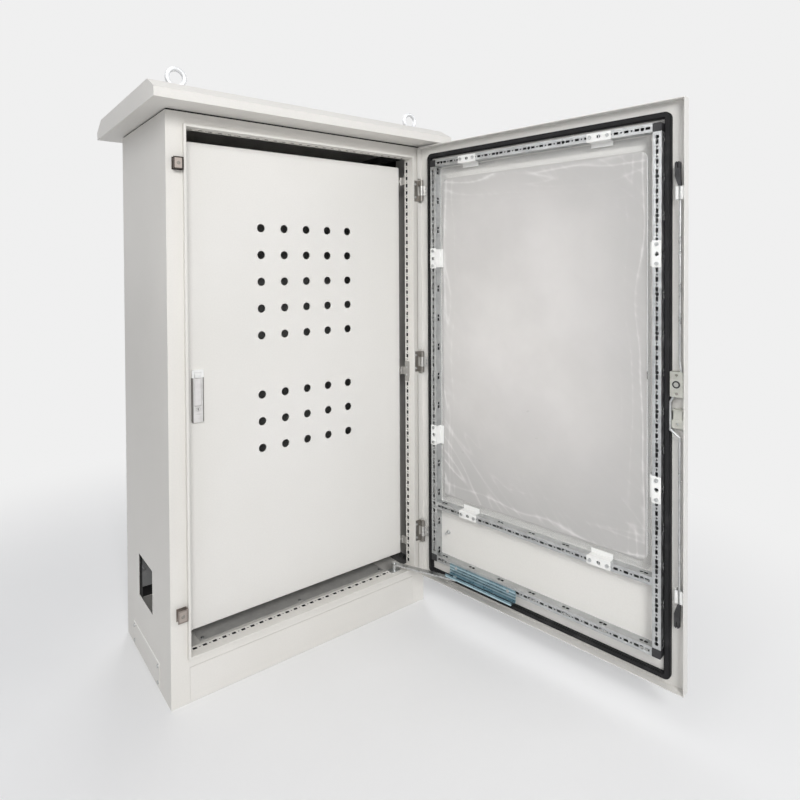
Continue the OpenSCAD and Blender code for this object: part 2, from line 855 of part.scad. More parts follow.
// The folded rim is lower on the hinge side, so that it swings clear of the body
module door_panel() {
    color("#e3e1dc") swing() difference() {
        box([-door_x, door_face_y, door_z0], [door_x, door_rim_y, door_z1]);
        box([-door_x + sheet, skin_y, door_z0 + sheet],
            [door_x - sheet, door_rim_y + over, door_z1 - sheet]);
        plate_xz(door_face_y - over, skin_y + over)
            round_rect([window_x0, window_z0], [window_x1, window_z1], window_r);
        for (z = hinge_zs)
            box([door_x - sheet - over, skin_y + leaf_t, z - hinge_h / 2 - hinge_notch],
                [door_x + over, door_rim_y + over, z + hinge_h / 2 + hinge_notch]);
        box([door_x - hinge_rim_w, door_rim_y - hinge_rim_cut, door_z0 - over],
            [door_x + over, door_rim_y + over, door_z1 + over]);
        translate([spindle_x, 0, spindle_z]) bar_y(spindle_r + seam, door_face_y - over, skin_y + over);
    }
}

module window_pane() {
    color([0.85, 0.87, 0.88, 0.55]) swing() plate_xz(skin_y, skin_y + pane_t)
        round_rect([window_x0 - pane_lap_side, window_z0 - pane_lap_foot],
            [window_x1 + pane_lap_side, window_z1 + pane_lap_head], window_r);
}

seal_inner_r = 2;
// A closed loop around the opening, with its outer edge set out by a distance from the gutter's middle
module seal_loop(width) {
    middle_x = open_x + gutter_w / 2;
    middle_z0 = open_z0 - gutter_w / 2;
    middle_z1 = open_z1 + gutter_w / 2;
    reach = width / 2;
    corner = seal_r - seal_w / 2;
    difference() {
        round_rect([-middle_x - reach, middle_z0 - reach],
            [middle_x + reach, middle_z1 + reach], corner + reach);
        square_low = [-middle_x + reach, middle_z0 + reach];
        square_high = [middle_x - reach, middle_z1 - reach];
        round_rect(square_low, square_high, max(corner - reach, seal_inner_r));
    }
}

module door_seal() {
    color("#1d1d20") swing() {
        plate_xz(skin_y, skin_y + seal_foot_h) seal_loop(seal_w);
        plate_xz(skin_y + seal_foot_h / 2, skin_y + seal_h) seal_loop(seal_bulb_w);
    }
}

// One rail along X from zero: a channel with its mouth on the door skin at Y zero
module door_rail(length, pitch) {
    hole_pitch = rail_hole_every * pitch;
    large = floor((length - pitch) / hole_pitch);
    start = (length - large * hole_pitch) / 2;
    slots = [for (x = [start - pitch / 2 : -pitch : slot_l]) x,
        for (x = [start + pitch / 2 : pitch : length - slot_l]) x];
    plate_xz(rail_d - rail_t, rail_d) difference() {
        rect([0, 0], [length, rail_w]);
        for (x = slots) translate([x, rail_w / 2]) square([slot_l, slot_w], center = true);
        for (i = [0 : large]) translate([start + i * hole_pitch, rail_w / 2])
            circle(d = rail_hole_d, $fn = 24);
        for (i = [0 : large - 1], k = [1 : rail_hole_every - 1])
            translate([start + i * hole_pitch + k * pitch, rail_w / 2]) circle(d = dot_d, $fn = 16);
    }
    for (z = [0, rail_w - rail_t]) translate([0, 0, z]) linear_extrude(rail_t) difference() {
        square([length, rail_d - rail_t]);
        for (i = [0 : large]) translate([start + i * hole_pitch, rail_d / 2]) {
            translate([-slot_l / 2, 0]) square(rail_hole_d, center = true);
            translate([slot_l / 2, 0]) circle(d = rail_hole_d, $fn = 24);
        }
    }
}

module door_rails_level() {
    color("#c3c9cb") swing() for (z = [rail_foot_z, cross_z, rail_head_z - rail_w])
        translate([rail_lock_x + rail_w, skin_y, z]) door_rail(level_rail_l, level_pitch);
}

module door_rails_upright() {
    length = rail_head_z - rail_foot_z - 2 * rail_w;
    color("#c3c9cb") swing() for (x = [rail_lock_x + rail_w, rail_hinge_x])
        translate([x, skin_y, rail_foot_z + rail_w]) rotate([0, -90, 0]) door_rail(length, slot_pitch);
}

// Plastic corner blocks that join the rails
corner_proud = 1;
corner_edge = 2;
module rail_corners() {
    color("#1b1b1d") swing()
        for (x = [rail_lock_x, rail_hinge_x - rail_w], z = [rail_foot_z, rail_head_z - rail_w])
        translate([x, 0, z]) plate_xz(skin_y, rail_y + corner_proud)
            round_rect([0, 0], [rail_w, rail_w], corner_edge);
}

// One clamp centred on X zero: flange on the rail face, web down the rail and foot on the pane
clamp_hole_r = 5;
clamp_edge = 3;
clamp_screw_share = 0.36;
module pane_clamp() {
    pane_y = skin_y + pane_t;
    plate_xz(rail_y, rail_y + clamp_t) difference() {
        round_rect([-clamp_l / 2, -clamp_t], [clamp_l / 2, rail_w], clamp_edge);
        translate([0, rail_w / 2]) circle(clamp_hole_r);
    }
    box([-clamp_l / 2 + clamp_edge, pane_y + clamp_t, -clamp_t], [clamp_l / 2 - clamp_edge, rail_y, 0]);
    box([-clamp_l / 2 + clamp_edge, pane_y, -clamp_foot],
        [clamp_l / 2 - clamp_edge, pane_y + clamp_t, 0]);
}

// Places something that is drawn for the head rail at every clamp
module clamp_places() {
    for (x = clamp_xs) {
        translate([x, 0, rail_head_z - rail_w]) children();
        translate([x, 0, cross_z + rail_w]) mirror([0, 0, 1]) children();
    }
    for (z = clamp_zs) {
        translate([rail_lock_x + rail_w, 0, z]) rotate([0, -90, 0]) children();
        translate([rail_hinge_x - rail_w, 0, z]) rotate([0, 90, 0]) children();
    }
}

module pane_clamps() {
    color("#e9e8e4") swing() clamp_places() pane_clamp();
}

module clamp_screws() {
    color("#b8b9b7") swing() clamp_places() for (side = [-1, 1])
        translate([side * clamp_screw_share * clamp_l, rail_y + clamp_t, rail_w / 2]) rotate([-90, 0, 0])
            screw_head();
}

// Rod lock

rod_tip_gap = 3;
tip_guide_gap = 1.5;
tip_out = keeper_pitch - keeper_h / 2 - rod_tip_gap;
guide_out = tip_out - tip_l - tip_guide_gap - guide_l;
guide_t = 1.5;
guide_w = 18;
guide_room = 0.6;
guide_mouth = 5;
// Brackets on the skin whose front lips leave a mouth narrower than the rod
module rod_guides() {
    y1 = rod_y + rod_r + guide_room;
    color("#e4e3df") swing() for (z = [lock_mid - guide_out - guide_l, lock_mid + guide_out])
        translate([rod_x, 0, z]) difference() {
            box([-guide_w / 2, skin_y, 0], [guide_w / 2, y1 + guide_t, guide_l]);
            box([-guide_w / 2 + guide_t, skin_y + guide_t, -over],
                [guide_w / 2 - guide_t, y1, guide_l + over]);
            box([-guide_mouth / 2, y1 - over, -over],
                [guide_mouth / 2, y1 + guide_t + over, guide_l + over]);
        }
}

gear_case_t = 1.8;
gear_screw_z_share = 0.37;
gear_screw_r = 3.2;
gear_seat_r = 5;
gear_groove = 0.8;
gear_groove_z_share = 0.24;
module gear_case() {
    y1 = skin_y + gear_case_d;
    color("#d3d2cd") swing() translate([spindle_x, 0, spindle_z]) difference() {
        box([-gear_case_w / 2, skin_y, -gear_case_h / 2], [gear_case_w / 2, y1, gear_case_h / 2]);
        box([-gear_case_w / 2 + gear_case_t, skin_y - over, -gear_case_h / 2 + gear_case_t],
            [gear_case_w / 2 - gear_case_t, y1 - gear_case_t, gear_case_h / 2 - gear_case_t]);
        bar_y(spindle_r + fit, skin_y - over, y1 + over);
        for (side = [-1, 1]) {
            translate([side * rod_offset, rod_y, 0]) rotate([0, side > 0 ? 180 : 0, 0])
                cylinder(r = rod_r + seam, h = gear_case_h);
            translate([0, 0, side * gear_screw_z_share * gear_case_h]) {
                bar_y(gear_screw_r, y1 - gear_case_t - over, y1 + over);
                bar_y(gear_seat_r, y1 - gear_groove, y1 + over);
            }
            translate([0, 0, side * gear_groove_z_share * gear_case_h])
                box([-gear_case_w / 2 - over, y1 - gear_groove, -gear_groove / 2],
                    [gear_case_w / 2 + over, y1 + over, gear_groove / 2]);
        }
    }
}

key_case_gap = 29;
key_case_w = 26;
key_case_d = 17;
key_plate_share = 0.46;
key_plate_t = 2;
key_waist = 3;
key_case_z1 = spindle_z - gear_case_h / 2 - key_case_gap;
// Case of the key lock: a narrower upper half and a proud plate with a screw hole below
module key_case() {
    x0 = -door_x + sheet + seam;
    z0 = key_case_z1 - key_case_h;
    plate_z = z0 + key_plate_share * key_case_h;
    y1 = skin_y + key_case_d;
    color("#d3d2cd") swing() difference() {
        union() {
            plate_xz(skin_y, y1)
                round_rect([x0 + key_waist, z0], [x0 + key_case_w - key_waist, key_case_z1], clamp_edge);
            plate_xz(skin_y, y1 + key_plate_t)
                round_rect([x0, z0], [x0 + key_case_w, plate_z], clamp_edge);
            box([x0, skin_y, key_case_z1 - key_plate_t],
                [x0 + key_case_w, y1 + key_plate_t, key_case_z1]);
        }
        translate([x0 + key_case_w / 2, 0, (z0 + plate_z) / 2])
            bar_y(gear_screw_r, y1 - clamp_t, y1 + key_plate_t + over);
    }
}

// A round rod through points given as X and Z
module bent_rod(points) {
    for (i = [0 : len(points) - 2]) {
        from = points[i];
        run = points[i + 1] - from;
        translate([from[0], rod_y, from[1]]) rotate([0, atan2(run[0], run[1]), 0])
            cylinder(r = rod_r, h = norm(run));
    }
    for (i = [1 : len(points) - 2]) translate([points[i][0], rod_y, points[i][1]]) sphere(rod_r);
}

rod_end_share = 0.33;
rod_bend = 16;
rod_straight = 3;
rod_joggle = 10;
rod_side_step = 5.5;
rod_below_key = 6;
module upper_rod() {
    x0 = spindle_x - rod_offset;
    z0 = spindle_z - rod_end_share * gear_case_h;
    bend_z = spindle_z + gear_case_h / 2 + rod_straight;
    color("#c8cacb") swing() bent_rod([[x0, z0], [x0, bend_z], [rod_x, bend_z + rod_bend],
        [rod_x, lock_mid + tip_out - tip_l]]);
}

// The lower rod steps round the key lock and then runs in line with the upper one
module lower_rod() {
    x0 = spindle_x + rod_offset;
    x1 = x0 + rod_side_step;
    z0 = spindle_z + rod_end_share * gear_case_h;
    step_z = spindle_z - gear_case_h / 2 - rod_straight;
    bend_z = key_case_z1 - key_case_h - rod_below_key;
    color("#c8cacb") swing() bent_rod([[x0, z0], [x0, step_z], [x1, step_z - rod_joggle], [x1, bend_z],
        [rod_x, bend_z - rod_bend], [rod_x, lock_mid - tip_out + tip_l]]);
}

tip_w = 12;
tip_t = 8;
tip_side = 10;
tip_setback = 3;
tip_taper = 22;
tip_chamfer = 3;
tip_notch_w = 2.4;
tip_notch_l = 14;
// A forked plastic nose that slides behind a keeper, drawn upwards from zero
module rod_tip() {
    x0 = tip_side - tip_w;
    mid = tip_side - tip_w / 2;
    y0 = rod_y - tip_t / 2 + tip_setback;
    plate_xz(y0, y0 + tip_t) difference() {
        polygon([[-rod_r, 0], [rod_r, 0], [tip_side, tip_taper], [tip_side, tip_l - tip_chamfer],
            [tip_side - tip_chamfer, tip_l], [x0 + tip_chamfer, tip_l], [x0, tip_l - tip_chamfer],
            [x0, tip_taper]]);
        rect([mid - tip_notch_w / 2, tip_l - tip_notch_l], [mid + tip_notch_w / 2, tip_l + over]);
    }
}

module upper_rod_tip() {
    color("#161618") swing() translate([rod_x, 0, lock_mid + tip_out - tip_l]) rod_tip();
}

module lower_rod_tip() {
    color("#161618") swing() translate([rod_x, 0, lock_mid - tip_out + tip_l])
        mirror([0, 0, 1]) rod_tip();
}

// Handle on the outside

base_up_share = 0.25;
module handle_base() {
    z0 = spindle_z - (1 - base_up_share) * handle_base_l;
    z1 = spindle_z + base_up_share * handle_base_l;
    color("#2a2a2c") swing() difference() {
        plate_xz(door_face_y - handle_base_t, door_face_y)
            round_rect([spindle_x - handle_base_w / 2, z0], [spindle_x + handle_base_w / 2, z1],
                handle_base_w / 2 - seam);
        translate([spindle_x, 0, spindle_z])
            bar_y(spindle_r + fit, door_face_y - handle_base_t - over, door_face_y + over);
    }
}

hub_r = 14;
hub_t = 4;
ear_t = 4;
ear_w = 18;
lever_pin_r = 3;
lever_room = 1;
lever_y = door_face_y - handle_base_t - seam - hub_t - lever_t / 2 - lever_room;

cap_r = 8.5;
cap_t = 1.5;
cap_slot_l = 9;
cap_slot_w = 2;

// Spindle with its hub, the two ears that carry the lever, and a slotted cap on the gear case
module handle_spindle() {
    hub_y = door_face_y - handle_base_t - seam;
    cap_y = skin_y + gear_case_d + seam;
    color("#2f2f31") swing() translate([spindle_x, 0, spindle_z]) {
        bar_y(spindle_r, hub_y - hub_t, cap_y);
        difference() {
            bar_y(cap_r, cap_y, cap_y + cap_t);
            box([-cap_slot_l / 2, cap_y + cap_t / 2, -cap_slot_w / 2],
                [cap_slot_l / 2, cap_y + cap_t + over, cap_slot_w / 2]);
        }
        bar_y(hub_r, hub_y - hub_t, hub_y);
        for (side = [0, 1]) mirror([0, 0, side]) translate([0, 0, lever_w / 2 + seam]) difference() {
            union() {
                box([-ear_w / 2, lever_y, 0], [ear_w / 2, hub_y - hub_t, ear_t]);
                translate([0, lever_y, 0]) cylinder(r = ear_w / 2, h = ear_t);
            }
            translate([0, lever_y, -over]) cylinder(r = lever_pin_r + fit, h = ear_t + 2 * over);
        }
    }
}

lever_tip_share = 0.6;
// The lever swings on its pin between the ears, here turned level and lifted
module handle_lever() {
    color("#2f2f31") swing() translate([spindle_x, lever_y, spindle_z]) rotate([0, 0, -lever_lift]) {
        cylinder(r = lever_pin_r, h = lever_w + 2 * (ear_t + seam), center = true);
        translate([0, 0, -lever_w / 2]) linear_extrude(lever_w) {
            circle(lever_t / 2);
            polygon([[0, -lever_t / 2], [lever_l, -lever_tip_share * lever_t / 2],
                [lever_l, lever_tip_share * lever_t / 2], [0, lever_t / 2]]);
            translate([lever_l, 0]) circle(lever_tip_share * lever_t / 2);
        }
    }
}

// Earth stud on the door skin
stud_r = 3;
stud_l = 16;
stud_inset = 28;
stud_nut_r = 6;
stud_nut_h = 5;
module earth_stud() {
    x = rail_hinge_x - rail_w - stud_inset;
    z = (rail_foot_z + rail_w + cross_z) / 2;
    color("#b8b9b7") swing() translate([x, 0, z]) {
        bar_y(stud_r, skin_y, skin_y + stud_l);
        translate([0, skin_y, 0]) rotate([-90, 0, 0]) cylinder(r = stud_nut_r, h = stud_nut_h, $fn = 6);
    }
}

// Door stay

channel_t = 2;
channel_s0 = 122;
channel_drop = 18;
channel_z = rail_foot_z - channel_drop;
slot_reach = 29;
slot_y = hinge_y + slot_reach;
slot_end = 6;
stay_gap = 1.2;
slider_tail = 0.6;
arm_z = channel_z - stay_gap - stay_t;

module stay_channel() {
    x1 = hinge_x - channel_s0;
    x0 = x1 - channel_l;
    y1 = rail_y + channel_d;
    color("#8fb6cf") swing() {
        difference() {
            box([x0, rail_y, channel_z], [x1, rail_y + channel_t, channel_z + channel_h]);
            stay_screw_places() bar_y(gear_screw_r, rail_y - over, rail_y + channel_t + over);
        }
        difference() {
            box([x0, rail_y + channel_t, channel_z], [x1, y1 - channel_t, channel_z + channel_t]);
            translate([x0 + slot_end, slot_y, channel_z - over]) linear_extrude(channel_t + 2 * over)
                translate([channel_slot / 2, 0])
                    link_outline(channel_l - 2 * slot_end - channel_slot, channel_slot);
        }
        box([x0, y1 - channel_t, channel_z], [x1, y1, channel_z + channel_lip]);
    }
}

stay_screw_inset = 24;
stay_screw_drop = 7;
module stay_screw_places() {
    x1 = hinge_x - channel_s0;
    for (x = [x1 - stay_screw_inset, x1 - channel_l + stay_screw_inset])
        translate([x, 0, channel_z + channel_h - stay_screw_drop]) children();
}

module stay_screws() {
    color("#d9dbdc") swing() stay_screw_places()
        translate([0, rail_y + channel_t, 0]) rotate([-90, 0, 0]) screw_head();
}

pivot_x = hinge_x - stay_x;
pivot_y = hinge_y + stay_y;
bracket_w = 36;
bracket_d = 24;
bracket_t = 2;
post_r = 7;
pivot_head_h = 2.5;

// Foot on the sill strip with the post and pin that the arm turns on
module stay_bracket() {
    color("#c3c9cb") translate([pivot_x, pivot_y, 0]) {
        box([-bracket_w / 2, -bracket_d / 2, open_z0],
            [bracket_w / 2, bracket_d / 2, open_z0 + bracket_t]);
        translate([0, 0, open_z0 + bracket_t])
            cylinder(r = post_r, h = arm_z - seam - open_z0 - bracket_t);
        translate([0, 0, arm_z - seam]) cylinder(r = stay_pin_r, h = stay_t + 2 * seam);
        translate([0, 0, arm_z + stay_t + seam]) cylinder(r = post_r, h = pivot_head_h);
    }
}

// Where the arm's end lies along the open door, and the direction of the arm there
swing_u = [-cos(door_angle), -sin(door_angle)];
swing_n = [-sin(door_angle), cos(door_angle)];
pivot_from_hinge = [-stay_x, stay_y];
slot_c = slot_y - hinge_y;
pivot_along = pivot_from_hinge * swing_u;
pivot_across = pivot_from_hinge * swing_n;
slider_s = pivot_along + sqrt(stay_l * stay_l - (slot_c - pivot_across) * (slot_c - pivot_across));
arm_run = slider_s * swing_u + slot_c * swing_n - pivot_from_hinge;

module stay_arm() {
    color("#b9c4c0") translate([pivot_x, pivot_y, arm_z]) rotate([0, 0, atan2(arm_run[1], arm_run[0])])
        linear_extrude(stay_t) difference() {
            link_outline(stay_l, stay_w);
            circle(stay_pin_r + fit);
            translate([stay_l, 0]) circle(stay_pin_r);
        }
}

slider_head_r = 6;
slider_head_h = 3;
slider_play = 0.1;
module stay_slider() {
    color("#d9dbdc") swing() translate([hinge_x - slider_s, slot_y, channel_z]) {
        translate([0, 0, -slider_tail])
            cylinder(r = channel_slot / 2 - slider_play, h = channel_t + slider_tail);
        translate([0, 0, channel_t]) cylinder(r = slider_head_r, h = slider_head_h);
    }
}

// Inner door

module indicator_block(rows, top_z) {
    left_x = indicator_x - (indicator_columns - 1) / 2 * indicator_pitch_x;
    for (row = [0 : rows - 1], column = [0 : indicator_columns - 1])
        translate([left_x + column * indicator_pitch_x, 0, top_z - row * indicator_pitch_z])
            bar_y(indicator_d / 2, inner_y - over, inner_y + sheet + over);
}

lock_box_w = 20;
lock_box_h_share = 0.94;
lock_box_d = 14;
lock_box_h = lock_box_h_share * inner_lock_h;
lock_face_t = 7;
cam_l = 55;
cam_w = 14;
cam_t = 3;
cam_gap = 0.5;
cam_drop_share = 0.25;
cam_z = inner_lock_z - cam_drop_share * inner_lock_h;
cam_y = inner_y + lock_box_d + cam_gap;

module inner_door_panel() {
    color("#e6e4df") difference() {
        box([-inner_x, inner_y, inner_z0], [inner_x, inner_back_y, inner_z1]);
        box([-inner_x + sheet, inner_y + sheet, inner_z0 + sheet],
            [inner_x - sheet, inner_back_y + over, inner_z1 - sheet]);
        indicator_block(upper_rows, upper_row_z);
        indicator_block(lower_rows, lower_row_z);
        box([inner_lock_x - lock_box_w / 2 - seam, inner_y - over, inner_lock_z - lock_box_h / 2 - seam],
            [inner_lock_x + lock_box_w / 2 + seam, inner_y + sheet + over,
                inner_lock_z + lock_box_h / 2 + seam]);
        box([-inner_x - over, cam_y - cam_t, cam_z - cam_l - cam_t],
            [-inner_x + sheet + over, inner_back_y + over, cam_z + cam_w]);
    }
}

inner_lever_l = 70;
inner_lever_t = 5;
inner_lever_w = 16;
inner_lever_gap = 0.5;
inner_lever_pin_r = 1.5;
inner_lever_top_share = 0.34;
inner_button_h = 14;
inner_button_d = 9;
inner_button_travel = 3;
pocket_d = 14;
pocket_w = inner_lever_w + 2 * inner_lever_gap;
lever_top_z = inner_lock_z + inner_lever_top_share * inner_lock_h;
lever_pin_z = lever_top_z - inner_lever_t / 2;
lever_face_y = inner_y - lock_face_t;
lever_pin_y = lever_face_y + inner_lever_t / 2;
button_z0 = lever_top_z + 2 * inner_lever_gap;
keyhole_r = 6;
lock_groove = 0.8;
key_slot_w = 1.4;

// Face plate and the box behind the door that holds lever and button
module inner_lock_body() {
    pocket_z0 = lever_top_z - inner_lever_l - 2 * inner_lever_gap;
    pocket_z1 = button_z0 + inner_button_h + inner_lever_gap;
    color("#b7b3ab") translate([inner_lock_x, 0, 0]) difference() {
        union() {
            plate_xz(inner_y - lock_face_t, inner_y)
                round_rect([-inner_lock_w / 2, inner_lock_z - inner_lock_h / 2],
                    [inner_lock_w / 2, inner_lock_z + inner_lock_h / 2], clamp_edge);
            box([-lock_box_w / 2, inner_y, inner_lock_z - lock_box_h / 2],
                [lock_box_w / 2, inner_y + lock_box_d, inner_lock_z + lock_box_h / 2]);
        }
        box([-pocket_w / 2, inner_y - lock_face_t - over, pocket_z0],
            [pocket_w / 2, inner_y - lock_face_t + pocket_d, pocket_z1]);
        translate([0, lever_pin_y, lever_pin_z])
            bar_x(inner_lever_pin_r + fit, -pocket_w / 2 - clamp_edge, pocket_w / 2 + clamp_edge);
        translate([0, 0, cam_z])
            bar_y(keyhole_r + fit, inner_y - lock_face_t - over, inner_y + lock_box_d + over);
        box([-pocket_w / 2, inner_y - lock_face_t - over, cam_z - 2 * keyhole_r - lock_groove],
            [pocket_w / 2, inner_y - lock_face_t + lock_groove, cam_z - 2 * keyhole_r]);
    }
}

module inner_lock_lever() {
    pin_l = pocket_w + clamp_edge;
    color("#c9c5bd") translate([inner_lock_x, 0, 0]) {
        translate([0, lever_pin_y, lever_pin_z]) {
            bar_x(inner_lever_pin_r, -pin_l / 2, pin_l / 2);
            bar_x(inner_lever_t / 2, -inner_lever_w / 2, inner_lever_w / 2);
        }
        box([-inner_lever_w / 2, lever_face_y, lever_top_z - inner_lever_l],
            [inner_lever_w / 2, lever_face_y + inner_lever_t, lever_pin_z]);
    }
}

button_proud = 2;
button_slope_share = 0.6;
// A wedge button that is pushed into the lock
module inner_lock_button() {
    y0 = lever_face_y - button_proud;
    color("#c9c5bd") translate([inner_lock_x, 0, button_z0])
        plate_yz(-inner_lever_w / 2, inner_lever_w / 2)
        polygon([[y0, 0], [y0, button_slope_share * inner_button_h],
            [y0 + 2 * button_proud, inner_button_h],
            [y0 + inner_button_d, inner_button_h], [y0 + inner_button_d, 0]]);
}

// Key barrel with the latch blade behind the door, at rest turned down off the frame
module inner_lock_cam() {
    color("#9b978f") translate([inner_lock_x, 0, cam_z]) {
        difference() {
            bar_y(keyhole_r, inner_y - lock_face_t, cam_y);
            box([-key_slot_w / 2, inner_y - lock_face_t - over, -keyhole_r / 2],
                [key_slot_w / 2, inner_y, keyhole_r / 2]);
        }
        translate([0, cam_y + cam_t, 0]) rotate([90, 90, 0]) linear_extrude(cam_t)
            link_outline(cam_l - cam_w / 2, cam_w);
    }
}

latch_keeper_t = 2;
latch_keeper_h = 30;
latch_keeper_lip = 14;
latch_keeper_gap = 1.5;
// A stepped plate on the back of the lock side strip that the latch blade turns behind
module inner_latch_keeper() {
    x0 = -open_x - strip_fold;
    y1 = cam_y - latch_keeper_gap;
    z0 = cam_z - latch_keeper_h / 2;
    z1 = cam_z + latch_keeper_h / 2;
    color("#b9b7b2") {
        box([x0, strip_y1, z0], [x0 + strip_fold - latch_keeper_t, strip_y1 + latch_keeper_t, z1]);
        box([x0, strip_y1 + latch_keeper_t, z0], [x0 + latch_keeper_t, y1, z1]);
        box([x0 + latch_keeper_t, y1 - latch_keeper_t, z0],
            [x0 + latch_keeper_t + latch_keeper_lip, y1, z1]);
    }
}

// Inner door hinges

inner_hinge_h = 24;
inner_hinge_mid_h = 9;
inner_knuckle_r = 3;
inner_pin_r = 1.5;
inner_leaf_t = 2;
inner_door_leaf_t = 1.5;
inner_leaf_edge = 3;
inner_pad_d = 21;
inner_pad_h = 64;
pad_hole_z_share = 0.19;
inner_hinge_drop = 29;
inner_hinge_inset = 44;
inner_hinge_x = open_x - inner_knuckle_r;
inner_hinge_room = 1;
inner_hinge_y = inner_y - inner_knuckle_r - inner_hinge_room;
inner_end_h = (inner_hinge_h - inner_hinge_mid_h) / 2 - float_gap;
inner_hinge_mid = (inner_z0 + inner_z1) / 2 - inner_hinge_drop;
inner_hinge_zs = [inner_z0 + inner_hinge_inset, inner_hinge_mid, inner_z1 - inner_hinge_inset];

// A screwed pad on the hinge side strip at the middle hinge
module inner_hinge_pad() {
    x0 = open_x - inner_leaf_t;
    difference() {
        plate_yz(x0, open_x) round_rect([strip_y1 - inner_pad_d, inner_hinge_mid - inner_pad_h / 2],
            [strip_y1, inner_hinge_mid + inner_pad_h / 2], clamp_edge);
        for (side = [-1, 1])
            translate([0, strip_y0 + slot_row, inner_hinge_mid + side * pad_hole_z_share * inner_pad_h])
                bar_x(leaf_hole_r, x0 - over, open_x + over);
    }
}

// Angles welded round the rear edge of the strip, each with an arm that reaches back to the knuckles
module inner_hinge_frames() {
    arm_y = inner_hinge_y - inner_knuckle_r;
    x0 = open_x - inner_leaf_t;
    color("#b9b7b2") inner_hinge_pad();
    color("#b9b7b2") for (z = inner_hinge_zs) translate([0, 0, z]) {
        box([x0, strip_y1, -inner_hinge_h / 2],
            [open_x + strip_fold, strip_y1 + inner_leaf_t, inner_hinge_h / 2]);
        box([x0, strip_y1 - inner_leaf_t, -inner_hinge_h / 2], [open_x, arm_y, inner_hinge_h / 2]);
        for (z0 = [-inner_hinge_h / 2, inner_hinge_h / 2 - inner_end_h]) translate([0, 0, z0])
            difference() {
            union() {
                translate([inner_hinge_x, inner_hinge_y, 0])
                    cylinder(r = inner_knuckle_r, h = inner_end_h);
                box([x0, arm_y, 0], [open_x, inner_hinge_y, inner_end_h]);
            }
            translate([inner_hinge_x, inner_hinge_y, -over])
                cylinder(r = inner_pin_r + fit, h = inner_end_h + 2 * over);
        }
    }
}

module inner_hinge_pins() {
    color("#b5b3ae") for (z = inner_hinge_zs)
        translate([inner_hinge_x, inner_hinge_y, z - inner_hinge_h / 2])
            cylinder(r = inner_pin_r, h = inner_hinge_h);
}

// Leaves on the folded edge of the inner door
module inner_hinge_leaves() {
    color("#c9c7c2") for (z = inner_hinge_zs) translate([0, 0, z - inner_hinge_mid_h / 2]) {
        box([inner_x, inner_hinge_y, 0],
            [inner_x + inner_door_leaf_t, inner_back_y - inner_leaf_edge, inner_hinge_mid_h]);
        difference() {
            union() {
                translate([inner_hinge_x, inner_hinge_y, 0])
                    cylinder(r = inner_knuckle_r, h = inner_hinge_mid_h);
                box([inner_x, inner_hinge_y, 0],
                    [inner_hinge_x, inner_hinge_y + inner_door_leaf_t, inner_hinge_mid_h]);
            }
            translate([inner_hinge_x, inner_hinge_y, -over])
                cylinder(r = inner_pin_r + fit, h = inner_hinge_mid_h + 2 * over);
        }
    }
}

side_panel_left();
side_panel_right();
top_panel();
floor_panel();
door_gutter();
frame_strips_upright();
frame_strips_level();
back_panel();
back_screws();
rain_hood();
hood_seal_strip();
eye_bolts();
plinth_front_plate();
plinth_rear_plate();
plinth_covers();
plinth_screws();
cable_plate();
cable_plate_screws();
rear_uprights();
depth_rails();
mounting_plate();
mounting_screws();
rod_keepers();
hinge_body_leaves();
hinge_pins();
inner_hinge_frames();
inner_hinge_pins();
inner_latch_keeper();
stay_bracket();
door_panel();
window_pane();
door_seal();
door_rails_upright();
door_rails_level();
rail_corners();
pane_clamps();
clamp_screws();
hinge_door_leaves();
rod_guides();
gear_case();
key_case();
handle_base();
earth_stud();
stay_channel();
stay_screws();
handle_spindle();
handle_lever();
upper_rod();
upper_rod_tip();
lower_rod();
lower_rod_tip();
stay_arm();
stay_slider();
inner_door_panel();
inner_lock_body();
inner_hinge_leaves();
inner_lock_lever();
inner_lock_button();
inner_lock_cam();
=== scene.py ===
import math

import bmesh
import bpy
from mathutils import Matrix, Vector, noise


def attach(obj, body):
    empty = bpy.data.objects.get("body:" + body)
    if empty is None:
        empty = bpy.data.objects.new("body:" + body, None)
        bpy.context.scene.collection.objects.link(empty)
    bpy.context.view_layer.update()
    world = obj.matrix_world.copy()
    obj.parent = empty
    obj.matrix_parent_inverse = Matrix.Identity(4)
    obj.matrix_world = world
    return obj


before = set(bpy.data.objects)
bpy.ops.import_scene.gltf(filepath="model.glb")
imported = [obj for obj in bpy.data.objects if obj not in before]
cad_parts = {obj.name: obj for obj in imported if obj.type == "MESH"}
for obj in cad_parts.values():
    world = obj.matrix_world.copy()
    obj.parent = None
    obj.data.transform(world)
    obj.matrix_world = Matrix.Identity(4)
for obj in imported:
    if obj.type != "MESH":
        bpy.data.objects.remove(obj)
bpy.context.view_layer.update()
scene = bpy.context.scene
scene.view_settings.view_transform = "Standard"


# Camera. It stands in front of the left corner at chest height, a little turned to the right.
# The shift keeps the uprights of the cabinet parallel, as a shop photographer's view does.
picture, focal, centre_x, centre_y, sensor = 800, 596.2, 387.1, 277.2, 36
eye = (-0.8412, -1.6497, 1.0652)
yaw, pitch, roll = math.radians(37.22), math.radians(-0.86), math.radians(-0.30)
camera = bpy.data.objects.new("camera", bpy.data.cameras.new("camera"))
scene.collection.objects.link(camera)
camera.data.sensor_width = sensor
camera.data.lens = focal * sensor / picture
camera.data.shift_x = (picture / 2 - centre_x) / picture
camera.data.shift_y = (centre_y - picture / 2) / picture
ahead = Vector((math.sin(yaw) * math.cos(pitch), math.cos(yaw) * math.cos(pitch), math.sin(pitch)))
level = Vector((math.cos(yaw), -math.sin(yaw), 0))
upright = level.cross(ahead)
side = level * math.cos(roll) + upright * math.sin(roll)
upright = upright * math.cos(roll) - level * math.sin(roll)
camera.matrix_world = (Matrix.Translation(eye)
    @ Matrix((side, upright, -ahead)).transposed().to_4x4())
scene.camera = camera


